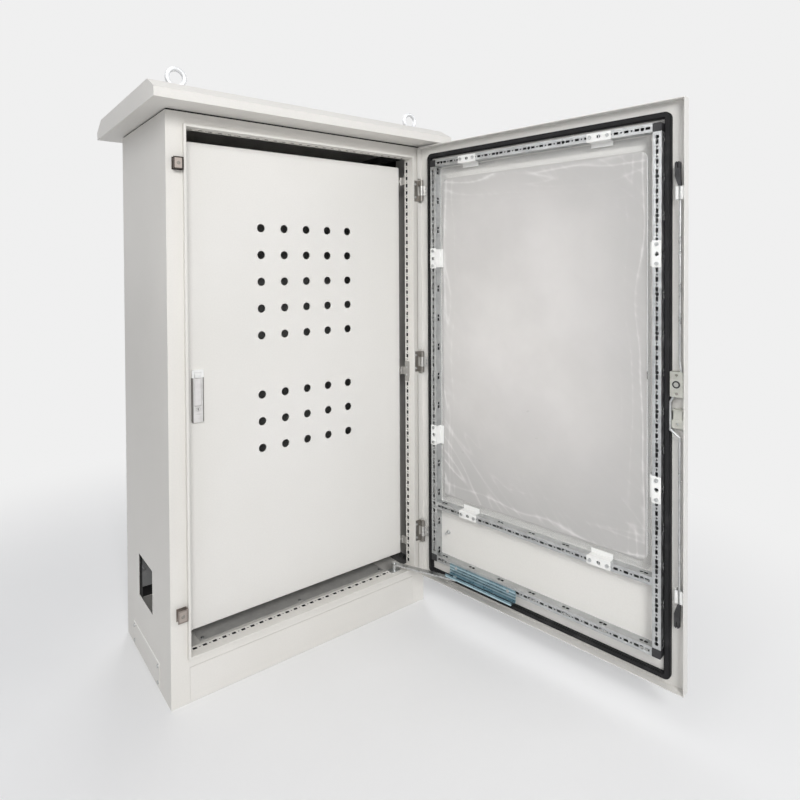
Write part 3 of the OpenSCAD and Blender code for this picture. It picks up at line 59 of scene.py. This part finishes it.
# Finish maths. A wire is a shader socket that can be added, multiplied and compared like a number,
# and node() adds any node after setting it up, so a finish reads as a few lines of sums.
class Wire:
    def __init__(self, tree, socket):
        self.tree = tree
        self.socket = socket

    def node(self, kind, settings, inputs, out=0):
        made = self.tree.nodes.new(kind)
        for key, value in settings.items():
            setattr(made, key, value)
        for key, value in inputs.items():
            if isinstance(value, Wire):
                self.tree.links.new(value.socket, made.inputs[key])
            else:
                made.inputs[key].default_value = value
        return Wire(self.tree, made.outputs[out])

    def sums(self, operation, first, second=0.0, third=0.0):
        return self.node("ShaderNodeMath", {"operation": operation}, {0: first, 1: second, 2: third})

    def __add__(self, other):
        return self.sums("ADD", self, other)

    def __radd__(self, other):
        return self.sums("ADD", other, self)

    def __sub__(self, other):
        return self.sums("SUBTRACT", self, other)

    def __rsub__(self, other):
        return self.sums("SUBTRACT", other, self)

    def __mul__(self, other):
        return self.sums("MULTIPLY", self, other)

    def __rmul__(self, other):
        return self.sums("MULTIPLY", other, self)

    def __truediv__(self, other):
        return self.sums("DIVIDE", self, other)

    def __rtruediv__(self, other):
        return self.sums("DIVIDE", other, self)

    def __pow__(self, other):
        return self.sums("POWER", self, other)

    def __abs__(self):
        return self.sums("ABSOLUTE", self)

    def __or__(self, other):
        return self.sums("MAXIMUM", self, other)

    def within(self, low, high):
        return self.sums("COMPARE", self, (low + high) / 2, (high - low) / 2)

    def fade(self, low, high, to_low=0.0, to_high=1.0):
        return self.node("ShaderNodeMapRange", {"interpolation_type": "SMOOTHSTEP"},
            {0: self, 1: low, 2: high, 3: to_low, 4: to_high})

    def grain(self, scale, detail=2.0, rough=0.5):
        return self.node("ShaderNodeTexNoise", {},
            {"Vector": self, "Scale": scale, "Detail": detail, "Roughness": rough})

    def stretched(self, x, y, z):
        return self.node("ShaderNodeVectorMath", {"operation": "MULTIPLY"}, {0: self, 1: (x, y, z)})

    def axis(self, number):
        return self.node("ShaderNodeSeparateXYZ", {}, {0: self}, number)

    def tone(self, first, second):
        return self.node("ShaderNodeMix", {"data_type": "RGBA"},
            {0: self, 6: first if isinstance(first, Wire) else (*first, 1),
             7: second if isinstance(second, Wire) else (*second, 1)}, 2)

    def rounded(self, radius):
        return self.node("ShaderNodeBevel", {"samples": 4}, {"Radius": radius})

    def relief(self, strength, distance, corner=None):
        under = {"Normal": corner} if corner else {}
        return self.node("ShaderNodeBump", {},
            {"Strength": strength, "Distance": distance, "Height": self, **under})

    def to(self, socket):
        self.tree.links.new(self.socket, socket)


def new_finish(name):
    finish = bpy.data.materials.new(name)
    finish.use_nodes = True
    tree = finish.node_tree
    place = Wire(tree, tree.nodes.new("ShaderNodeTexCoord").outputs["Object"])
    return finish, tree.nodes["Principled BSDF"], place


def dress(finish, *nodes):
    for node in nodes:
        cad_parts[node].data.materials.clear()
        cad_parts[node].data.materials.append(finish)


def new_piece(name, mesh):
    piece = bpy.data.objects.new(name, bpy.data.meshes.new(name))
    mesh.to_mesh(piece.data)
    mesh.free()
    scene.collection.objects.link(piece)
    return piece


# Stage. A pale floor that, for the camera alone, runs out into an even pale background. One large soft
# lamp stands in front on the left, weak ones on the right, behind and overhead, and a narrow one lights
# the open door; the sky adds an even light from all round.
backdrop, ambient = (0.87, 0.87, 0.87), (0.32, 0.325, 0.34)
world = bpy.data.worlds.new("studio")
scene.world = world
world.use_nodes = True
sky = world.node_tree.nodes["Background"]
rays = world.node_tree.nodes.new("ShaderNodeLightPath").outputs
seen = Wire(world.node_tree, rays["Is Camera Ray"]) | Wire(world.node_tree, rays["Is Glossy Ray"])
seen = seen | Wire(world.node_tree, rays["Is Transmission Ray"])
seen.tone(ambient, backdrop).to(sky.inputs["Color"])
sky.inputs["Strength"].default_value = 1.0

floor_radius, fade_from, fade_to = 30, 0.6, 2.0
floor_mesh = bmesh.new()
bmesh.ops.create_circle(floor_mesh, cap_ends=True, segments=96, radius=floor_radius)
floor = new_piece("studio_floor", floor_mesh)
floor_finish, floor_shader, place = new_finish("studio_floor")
place.grain(3).tone((0.86, 0.86, 0.86), (0.89, 0.89, 0.89)).to(floor_shader.inputs["Base Color"])
(place.grain(9) * 0.1 + 0.45).to(floor_shader.inputs["Roughness"])
away = place.node("ShaderNodeVectorMath", {"operation": "LENGTH"}, {0: place}, 1)
camera_ray = place.node("ShaderNodeLightPath", {}, {}, "Is Camera Ray")
glow = place.node("ShaderNodeEmission", {}, {"Color": (*backdrop, 1), "Strength": 1.0})
edge = place.node("ShaderNodeMixShader", {}, {0: away.fade(fade_from, fade_to) * camera_ray,
    1: Wire(place.tree, floor_shader.outputs[0]), 2: glow})
edge.to(floor_finish.node_tree.nodes["Material Output"].inputs["Surface"])
floor.data.materials.append(floor_finish)

for name, spot, aim, size, power, spread in (
        ("key_lamp", (-1.55, -3.8, 2.75), (0.15, -0.3, 0.8), 1.3, 107, 180),
        ("right_lamp", (2.6, -3.4, 2.2), (0.1, 0, 0.8), 2.2, 18, 180),
        ("back_lamp", (1.7, 3.4, 2.4), (0.2, 0, 0.8), 2.0, 40, 180),
        ("top_lamp", (-1.3, -0.5, 4.2), (0.1, -0.2, 0), 2.4, 25, 180),
        ("door_lamp", (-2.2, -0.95, 2.0), (0.45, -0.68, 0.8), 0.5, 0.8, 30)):
    lamp = bpy.data.objects.new(name, bpy.data.lights.new(name, "AREA"))
    scene.collection.objects.link(lamp)
    lamp.data.size = size
    lamp.data.energy = power
    lamp.data.spread = math.radians(spread)
    lamp.location = spot
    lamp.rotation_euler = (Vector(aim) - Vector(spot)).to_track_quat("-Z", "Y").to_euler()


# Body and plinth. Folded steel sheet, welded at the corners and powder coated in a warm pale grey with a
# fine orange peel; the plates of the plinth are coated apart and screwed on. Pockets behind the frame strips
# and the rear of the inside are coloured near black as painted shade; the covers' top edges carry a painted
# highlight.
# Near black tone used as painted shade.
painted_shade_tone = (0.02, 0.02, 0.021)


def powder_coat(name, light, shade, peel=0.10, painted_light_mask=None, under=painted_shade_tone):
    finish, shader, place = new_finish(name)
    cloud = place.grain(2.3, 4.0).fade(0.3, 0.7)
    fleck = place.grain(260, 3.0).fade(0.35, 0.65)
    coat = cloud.node("ShaderNodeMix", {"data_type": "RGBA", "blend_type": "MULTIPLY"},
        {0: 0.05, 6: cloud.tone(light, shade), 7: fleck.tone((0.6, 0.6, 0.6), (1, 1, 1))}, 2)
    # Where the painted-light mask is set, the coat gives way to painted shade or to a painted highlight.
    (painted_light_mask(place).tone(coat, under) if painted_light_mask else coat).to(shader.inputs["Base Color"])
    (place.grain(11, 4.0) * 0.16 + place.grain(420) * 0.08 + 0.32).to(shader.inputs["Roughness"])
    shader.inputs["Specular IOR Level"].default_value = 0.45
    skin = place.grain(750, 2.0) * 0.6 + place.grain(190, 1.0) * 0.4
    skin.relief(peel, 0.0006, place.rounded(0.0012)).to(shader.inputs["Normal"])
    return finish


# Painted shade: the pockets behind the frame strips and the rear of the inside are coloured near black.
def painted_inside_shade(place):
    side_sheet, strip_edge, head = 0.3985, 0.355, 1.4435
    across, y, z = abs(place.axis(0)), place.axis(1), place.axis(2)
    level_pocket = (z.within(0.0895, 0.117) | z.within(1.411, head)) * across.within(-1, strip_edge)
    pocket = y.within(-0.199, -0.1685) * (across.within(strip_edge, side_sheet) | level_pocket)
    rear = y.within(-0.07, 0.1975) * across.within(-1, side_sheet) * z.within(0.0905, head)
    return pocket | rear


# Painted highlight along the top edge of the plinth covers.
def cover_top_highlight(place):
    return place.axis(2).within(0.0655, 0.07)


plinth_light, plinth_shade = (0.77, 0.75, 0.715), (0.74, 0.72, 0.68)
dress(powder_coat("body_coat", (0.76, 0.74, 0.70), (0.73, 0.71, 0.67), painted_light_mask=painted_inside_shade),
    "side_panel_left", "side_panel_right", "top_panel", "floor_panel", "door_gutter",
    "frame_strips_upright", "frame_strips_level", "back_panel")
dress(powder_coat("plinth_coat", plinth_light, plinth_shade), "plinth_front_plate", "plinth_rear_plate")
# The covers' top edge is coloured near white as a painted highlight.
dress(powder_coat("cover_coat", plinth_light, plinth_shade, painted_light_mask=cover_top_highlight, under=(0.97, 0.96, 0.93)),
    "plinth_covers")


# Hood. Bent from one sheet with welded gable ends and coated like the body. It sits on a black foam
# strip, which is dressed with the door seal.
dress(powder_coat("hood_coat", (0.755, 0.74, 0.70), (0.725, 0.705, 0.67)), "rain_hood")


# Zinc fittings. Galvanised or zinc plated sheet, rod and screws with a faint crystal pattern and the
# fine lines that rolling leaves. The frame inside the body is coloured much darker than the plate it holds,
# as painted shade inside the body.
def zinc_plate(name, light, shade, rough=0.32, spangle=160, metal=1.0):
    finish, shader, place = new_finish(name)
    crystal = place.node("ShaderNodeTexVoronoi", {"feature": "F1"}, {"Vector": place, "Scale": spangle}, 1)
    patch = place.node("ShaderNodeSeparateColor", {}, {0: crystal}, 0)
    dull_and_shade_mask = place.grain(35, 4.0).fade(0.35, 0.7)
    (patch * 0.55 + dull_and_shade_mask * 0.45).tone(shade, light).to(shader.inputs["Base Color"])
    shader.inputs["Metallic"].default_value = metal
    (patch * 0.12 + dull_and_shade_mask * 0.14 + (rough - 0.08)).to(shader.inputs["Roughness"])
    lines = place.stretched(60, 60, 900).grain(1.0) * 0.5 + patch * 0.5
    lines.relief(0.12, 0.0003, place.rounded(0.0005)).to(shader.inputs["Normal"])
    return finish


zinc = zinc_plate("zinc", (0.66, 0.67, 0.67), (0.48, 0.49, 0.49))
dress(zinc, "back_screws", "plinth_screws", "cable_plate_screws", "mounting_screws", "clamp_screws",
    "upper_rod", "lower_rod", "stay_bracket", "stay_arm", "stay_slider", "stay_screws",
    "inner_hinge_pins", "earth_stud")
dress(zinc_plate("plate_zinc", (0.62, 0.63, 0.63), (0.555, 0.565, 0.57), 0.5, 70, 0.7), "mounting_plate")
# Painted shade: the frame inside the body is coloured near black.
dress(zinc_plate("inside_shade_zinc", (0.20, 0.20, 0.20), (0.13, 0.13, 0.13), 0.5, 90, 0.6),
    "rear_uprights", "depth_rails")
dress(zinc_plate("dull_zinc", (0.62, 0.61, 0.58), (0.52, 0.51, 0.49), 0.6, 90, 0.2), "cable_plate")
dress(zinc_plate("bright_zinc", (0.86, 0.87, 0.88), (0.78, 0.79, 0.80), 0.42, 90, 0.7), "eye_bolts")
dress(zinc_plate("rail_zinc", (0.60, 0.61, 0.61), (0.48, 0.49, 0.495), 0.40, 120),
    "door_rails_upright", "door_rails_level")


# Stainless hinges and keepers. Pressed sheet with a brushed grain along the leaf; the rims of the
# keepers are coloured near black as painted shade of their hollows, those of the lower one less.
def brushed_steel(name, light, shade, black=None):
    finish, shader, place = new_finish(name)
    lines = place.stretched(30, 30, 1400).grain(1.0, 3.0)
    stain = place.grain(28, 4.0).fade(0.4, 0.75)
    steel = (lines * 0.6 + stain * 0.4).tone(light, shade)
    # The mask paints shade: near black on the keeper rims.
    (black(place).tone(steel, (0.06, 0.052, 0.046)) if black else steel).to(shader.inputs["Base Color"])
    shader.inputs["Metallic"].default_value = 0.8
    (lines * 0.16 + stain * 0.12 + 0.3).to(shader.inputs["Roughness"])
    lines.relief(0.1, 0.0002, place.rounded(0.0005)).to(shader.inputs["Normal"])
    return finish


# Painted shade on the rims of the keepers, weaker on the lower one.
def keeper_rim_shade(place):
    x, z = place.axis(0), place.axis(2)
    plates = (z.within(0.2155, 0.2395) | z.within(1.3075, 1.3315)) * x.within(-0.3835, -0.3660)
    return (1 - plates) * z.fade(0.2, 1.3, 0.4, 1.0)


hinge_steel = brushed_steel("hinge_steel", (0.36, 0.34, 0.31), (0.24, 0.225, 0.205))
dress(hinge_steel, "hinge_body_leaves", "hinge_pins")
dress(brushed_steel("inner_steel", (0.46, 0.45, 0.43), (0.36, 0.35, 0.33)),
    "inner_hinge_frames", "inner_hinge_leaves", "inner_latch_keeper")
dress(brushed_steel("keeper_steel", (0.47, 0.41, 0.37), (0.38, 0.33, 0.30), keeper_rim_shade), "rod_keepers")
dress(brushed_steel("leaf_steel", (0.72, 0.71, 0.69), (0.56, 0.55, 0.53)), "hinge_door_leaves")


# Screws of the hinges and keepers. Pressed pan heads with a cross recess, plated like what they hold
# and driven through the leaves; each head is turned a little differently.
def drive_screws(name, body, radius, height, seats, coat=zinc):
    sides, each_turn = 32, 0.7
    profile = ((1, 0, 0), (1, 0.4, 0), (0.9, 0.75, 0), (0.72, 1, 0), (0.62, 1, 1), (0.5, 0.3, 1))
    made = bmesh.new()
    for number, (seat, out) in enumerate(seats):
        facing = Vector(out).to_track_quat("Z", "X").to_matrix().to_4x4()
        stand = Matrix.Translation(seat) @ facing
        rings = []
        for reach, lift, cross in profile:
            ring = []
            for step in range(sides):
                turn = step * math.tau / sides
                far = radius * reach * (0.4 + 0.6 * abs(math.cos(2 * turn)) ** 3 if cross else 1)
                turn += each_turn * number
                point = Vector((far * math.cos(turn), far * math.sin(turn), lift * height))
                ring.append(made.verts.new(stand @ point))
            rings.append(ring)
        for low, high in zip(rings, rings[1:]):
            for step in range(sides):
                made.faces.new((low[step - 1], low[step], high[step], high[step - 1]))
        made.faces.new(rings[-1])
        made.faces.new(reversed(rings[0]))
    screws = new_piece(name, made)
    screws.data.materials.append(coat)
    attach(screws, body)


hinge_heights, leaf_lifts = (0.229, 0.769, 1.309), (-0.02048, 0.02048)
keeper_heights = (0.2275, 1.3195)
pad_height, pad_lifts = 0.738, (-0.01216, 0.01216)
drive_screws("hinge_screws", "cabinet_body", 0.0038, 0.0018,
    [((0.3715, -0.203, z + lift), (0, -1, 0)) for z in hinge_heights for lift in leaf_lifts])
drive_screws("keeper_bolts", "cabinet_body", 0.0046, 0.0009,
    [((-0.374, -0.216, z), (0, -1, 0)) for z in keeper_heights], hinge_steel)
drive_screws("inner_hinge_screws", "cabinet_body", 0.0034, 0.0012,
    [((0.352, -0.180, pad_height + lift), (-1, 0, 0)) for lift in pad_lifts])


# Outer door. A folded pan coated like the body, with a black foamed seal laid round its edge. The skin
# under and beside its rails is coloured near black as painted shade. It is drawn as if closed and turned
# about its hinge to where it stands open.
hinge, door_angle = Vector((0.387, -0.215, 0)), math.radians(98.4)
open_door = (Matrix.Translation(hinge) @ Matrix.Rotation(door_angle, 4, "Z")
    @ Matrix.Translation(-hinge))
inward = open_door.to_3x3() @ Vector((0, 1, 0))
lengthways = open_door.to_3x3() @ Vector((1, 0, 0))


def on_door(place):
    x, y = [place.node("ShaderNodeVectorMath", {"operation": "DOT_PRODUCT"}, {0: place, 1: way}, 1) + shift
        for way, shift in ((lengthways, hinge.x - lengthways.dot(hinge)),
            (inward, hinge.y - inward.dot(hinge)))]
    return x, y, place.axis(2)


# Painted shade on the door skin where the rails stand on it.
def painted_shade_under_rails(place):
    left, right, foot, top, width = -0.349, 0.338, 0.160, 1.395, 0.020
    x, depth, z = on_door(place)
    skin = x.within(left, right) * z.within(foot, top) * depth.within(-0.2262, -0.2235)
    uprights = x.within(left, left + width) | x.within(right - width, right)
    levels = z.within(foot, foot + width) | z.within(0.324, 0.324 + width) | z.within(top - width, top)
    return skin * (uprights | levels)


door_leaf_lifts = (-0.0054, 0.0054)
dress(powder_coat("door_coat", (0.76, 0.745, 0.715), (0.73, 0.715, 0.68), painted_light_mask=painted_shade_under_rails), "door_panel")
drive_screws("door_leaf_screws", "outer_door_body", 0.0033, 0.0014,
    [(open_door @ Vector((0.3745, -0.222, z + lift)), inward)
        for z in hinge_heights for lift in door_leaf_lifts])

finish, shader, place = new_finish("foamed_seal")
cell = place.grain(900, 3.0)
dust = place.grain(22, 4.0).fade(0.5, 0.8)
(dust * 0.6 + cell * 0.3).tone((0.012, 0.012, 0.013), (0.045, 0.045, 0.046)).to(
    shader.inputs["Base Color"])
(cell * 0.15 + dust * 0.1 + 0.62).to(shader.inputs["Roughness"])
shader.inputs["Specular IOR Level"].default_value = 0.2
cell.relief(0.3, 0.0005).to(shader.inputs["Normal"])
dress(finish, "door_seal", "hood_seal_strip")


# Stay channel. Rolled strip with ribs along its length, blue passivated, screwed to the foot rail; its
# ribs are coloured in dark and light bands as painted shading, and its groove is coloured near black as
# painted shade.
finish, shader, place = new_finish("blue_zinc")
x, depth, z = on_door(place)
rib = z.sums("SINE", (z + depth) * 760).fade(-0.7, 0.9)
stain = place.grain(30, 4.0).fade(0.35, 0.7)
# Painted shade inside the groove of the channel.
groove_shade = depth.within(-0.1925, -0.1795) * z.within(0.1, 0.1445)
# Dark and light bands along the ribs are painted shading.
blue = (rib * 0.8 + stain * 0.2).tone((0.17, 0.28, 0.33), (0.56, 0.72, 0.79))
groove_shade.tone(blue, (0.03, 0.045, 0.055)).to(shader.inputs["Base Color"])
shader.inputs["Metallic"].default_value = 0.75
(stain * 0.14 + rib * 0.08 + 0.24).to(shader.inputs["Roughness"])
rib.relief(0.25, 0.0006).to(shader.inputs["Normal"])
dress(finish, "stay_channel")


# Window pane. A clear acrylic sheet cut larger than the opening and laid behind it; the clamps on the
# rails hold it.
finish, shader, place = new_finish("clear_acrylic")
smear = place.grain(7, 5.0).fade(0.35, 0.75)
smear.tone((0.80, 0.82, 0.82), (0.86, 0.87, 0.86)).to(shader.inputs["Base Color"])
(smear * 0.10 + place.grain(90, 3.0) * 0.05 + 0.04).to(shader.inputs["Roughness"])
(smear * 0.05 + 0.10).to(shader.inputs["Alpha"])
dress(finish, "window_pane")


# Protective film on the pane. Milky polythene as big as the window opening, stuck to the inner face and
# not peeled off yet; it is coloured darker towards the lock and the foot, and it has lifted into long
# creases along its edges and at its corners.
film_low, film_high = Vector((-0.309, 0.366)), Vector((0.307, 1.338))
film_round, film_y, film_lift, film_hem = 0.018, -0.2207, 0.0011, 0.006
film_rows, film_columns = 280, 180


def crowded(number, count):
    share = number / count
    return 0.5 * share + 0.25 * (1 - math.cos(math.pi * share))


def ridge(x, y, z):
    return (1 - abs(noise.noise(Vector((x, y, z))))) ** 9


made = bmesh.new()
lifts = made.verts.layers.float.new("crease")
rows = []
for row in range(film_rows + 1):
    z = film_low.y + crowded(row, film_rows) * (film_high.y - film_low.y)
    end = min(z - film_low.y, film_high.y - z)
    pull = film_round - math.sqrt(max(0, film_round ** 2 - max(0, film_round - end) ** 2))
    rows.append([])
    for column in range(film_columns + 1):
        width = film_high.x - film_low.x - 2 * pull
        x = film_low.x + pull + crowded(column, film_columns) * width
        beside = min(x - film_low.x, film_high.x - x)
        drift = 0.02 * noise.noise(Vector((x * 6, 1.7, z * 6)))
        along = ridge((x + drift) * 34, 4.1, z * 3.2)
        across = ridge(x * 3.6, 8.3, (z + drift) * 34)
        slant = ridge((x - z + drift) * 24, 2.9, (x + z) * 4)
        corner = math.hypot(x - film_high.x, z - film_low.y)
        lift = (along * math.exp(-beside / 0.035) + across * math.exp(-end / 0.045)
            + slant * math.exp(-corner / 0.16) + 0.25 * slant * math.exp(-min(beside, end) / 0.1))
        lift *= min(1, beside / film_hem, end / film_hem)
        point = made.verts.new(open_door @ Vector((x, film_y + film_lift * min(lift, 1.4), z)))
        point[lifts] = min(1, lift)
        rows[-1].append(point)
for low, high in zip(rows, rows[1:]):
    for column in range(film_columns):
        corners = (low[column], high[column], high[column + 1], low[column + 1])
        made.faces.new(corners).smooth = True
film = new_piece("pane_film", made)
finish, shader, place = new_finish("pane_film")
crease = place.node("ShaderNodeAttribute", {"attribute_name": "crease"}, {}, 2)
cloud = place.grain(2.6, 5.0).fade(0.3, 0.72)
haze = place.stretched(1, 1, 2.2).grain(26, 5.0, 0.6)
x, depth, z = on_door(place)
# Darker towards the lock and the foot.
lock_and_foot_darkening = (1 - x.fade(-0.33, -0.03) * z.fade(0.36, 0.72) * z.fade(1.5, 1.1)) * 0.8
milk = lock_and_foot_darkening.tone(cloud.tone((0.52, 0.502, 0.486), (0.61, 0.592, 0.572)), (0.40, 0.39, 0.38))
(crease.fade(0.15, 0.9) * 0.42).tone(milk, (0.84, 0.83, 0.81)).to(shader.inputs["Base Color"])
(cloud * 0.12 + haze * 0.2 + 0.2).to(shader.inputs["Roughness"])
(crease * 0.04 + cloud * 0.05 + 0.88).to(shader.inputs["Alpha"])
haze.relief(0.15, 0.001).to(shader.inputs["Normal"])
film.data.materials.append(finish)
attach(film, "outer_door_body")


# Brackets that hold the pane and guide the rods. Bent from thin sheet and coated white, the clamps
# screwed to the rails and the guides welded to the pan.
dress(powder_coat("bracket_coat", (0.84, 0.84, 0.82), (0.80, 0.80, 0.78), 0.06), "pane_clamps", "rod_guides")


# Black plastic. Corner blocks pushed into the rails, tips on the rods and the handle outside, all
# moulded with a fine spark-eroded texture.
def black_plastic(name, tone, rough):
    finish, shader, place = new_finish(name)
    grit = place.grain(1100, 2.0)
    wipe = place.grain(40, 4.0).fade(0.4, 0.75)
    rubbed = tuple(3 * part + 0.01 for part in tone)
    (wipe * 0.7 + grit * 0.3).tone(tone, rubbed).to(shader.inputs["Base Color"])
    (grit * 0.14 + wipe * 0.12 + rough).to(shader.inputs["Roughness"])
    grit.relief(0.15, 0.0003, place.rounded(0.0008)).to(shader.inputs["Normal"])
    return finish


dress(black_plastic("corner_plastic", (0.012, 0.012, 0.013), 0.42),
    "rail_corners", "upper_rod_tip", "lower_rod_tip")
dress(black_plastic("handle_black", (0.018, 0.018, 0.019), 0.32), "handle_base", "handle_lever")


# Handle spindle. A blackened steel shaft that passes through the door into the gear case; the middle of
# its cap, with the slot, is ground bright.
spindle_x, spindle_z, ground_radius = -0.380, 0.799, 0.0052
finish, shader, place = new_finish("spindle_steel")
x, depth, z = on_door(place)
from_middle = ((x - spindle_x) ** 2 + (z - spindle_z) ** 2) ** 0.5
ground = from_middle.within(-1, ground_radius) * depth.within(-0.206, -0.1)
ring = place.grain(240, 3.0)
blackened = ring.tone((0.016, 0.016, 0.017), (0.03, 0.03, 0.03))
ground.tone(blackened, ring.tone((0.42, 0.42, 0.40), (0.58, 0.58, 0.55))).to(shader.inputs["Base Color"])
ground.to(shader.inputs["Metallic"])
(ring * 0.2 + 0.28).to(shader.inputs["Roughness"])
ring.relief(0.1, 0.0003).to(shader.inputs["Normal"])
dress(finish, "handle_spindle")


# Gear case and key case of the rod lock. Zinc castings with a pale grey lacquer, dulled by handling, and
# fixed to the door skin by two screws and one.
finish, shader, place = new_finish("lock_casting")
touch = place.grain(48, 5.0).fade(0.38, 0.7)
pore = place.grain(850, 2.0)
touch.tone((0.56, 0.56, 0.51), (0.44, 0.44, 0.40)).to(shader.inputs["Base Color"])
shader.inputs["Metallic"].default_value = 0.55
(touch * 0.16 + pore * 0.14 + 0.28).to(shader.inputs["Roughness"])
pore.relief(0.14, 0.0003, place.rounded(0.001)).to(shader.inputs["Normal"])
dress(finish, "gear_case", "key_case")
drive_screws("gear_screws", "outer_door_body", 0.0031, 0.0016,
    [(open_door @ Vector((-0.380, -0.2064, z)), inward) for z in (0.82009, 0.77791)], hinge_steel)
drive_screws("key_screw", "outer_door_body", 0.0031, 0.0016,
    [(open_door @ Vector((-0.3827, -0.2095, 0.70916)), inward)])


# Inner door. A tray folded from sheet with two blocks of punched indicator holes, coated a little paler
# than the body and hung on three hinges.
dress(powder_coat("inner_coat", (0.78, 0.765, 0.735), (0.755, 0.74, 0.705)), "inner_door_panel")


# Inner lock. A chromed casting set into the inner door; its lever and button are polished, the sides of
# the casting are coloured dark grey as painted shade and its head is lacquered white. The keyhole and the
# gap round the barrel are coloured dark as painted shade.
lock_x, lock_head, barrel_z = -0.312, 0.790, 0.7095


def chromed(name, light, shade, dull_and_shade_mask=None, head=None):
    finish, shader, place = new_finish(name)
    haze = place.grain(60, 4.0).fade(0.35, 0.7)
    grit = place.grain(700, 2.0)
    chrome = haze.tone(light, shade)
    if head:
        chrome = head(place).tone(chrome, (0.95, 0.95, 0.94))
    # Where the mask is set, dark grey painted shade: the sides of the casting, the keyhole and the gap round
    # the barrel.
    (dull_and_shade_mask(place).tone(chrome, (0.19, 0.18, 0.17)) if dull_and_shade_mask else chrome).to(shader.inputs["Base Color"])
    shader.inputs["Metallic"].default_value = 0.6
    (haze * 0.15 + grit * 0.12 + 0.24).to(shader.inputs["Roughness"])
    grit.relief(0.08, 0.0003, place.rounded(0.0008)).to(shader.inputs["Normal"])
    return finish


def lock_top(place):
    return place.axis(2).within(lock_head, 0.9)


# Painted shade on the sides of the lock casting.
def lock_side_shade(place):
    x, z = place.axis(0) - lock_x, place.axis(2)
    return (1 - x.within(-0.0118, 0.0125)) * z.within(0.6, lock_head)


# Painted shade in the keyhole and in the gap round the barrel.
def keyhole_shade(place):
    x, z = place.axis(0) - lock_x, place.axis(2) - barrel_z
    round_gap = ((x ** 2 + z ** 2) ** 0.5).within(0.0048, 0.0068)
    return round_gap * 0.35 | x.within(-0.0012, 0.0012) * z.within(-0.0032, 0.0032)


casting_light, casting_shade = (0.80, 0.785, 0.77), (0.70, 0.685, 0.67)
dress(chromed("lock_casting_chrome", casting_light, casting_shade, lock_side_shade, lock_top), "inner_lock_body")
dress(chromed("lock_lever_chrome", (0.84, 0.82, 0.81), (0.74, 0.72, 0.71)), "inner_lock_lever")
dress(chromed("lock_button_chrome", (0.90, 0.90, 0.89), (0.84, 0.84, 0.83)), "inner_lock_button")
dress(chromed("lock_barrel", casting_light, casting_shade, keyhole_shade), "inner_lock_cam")
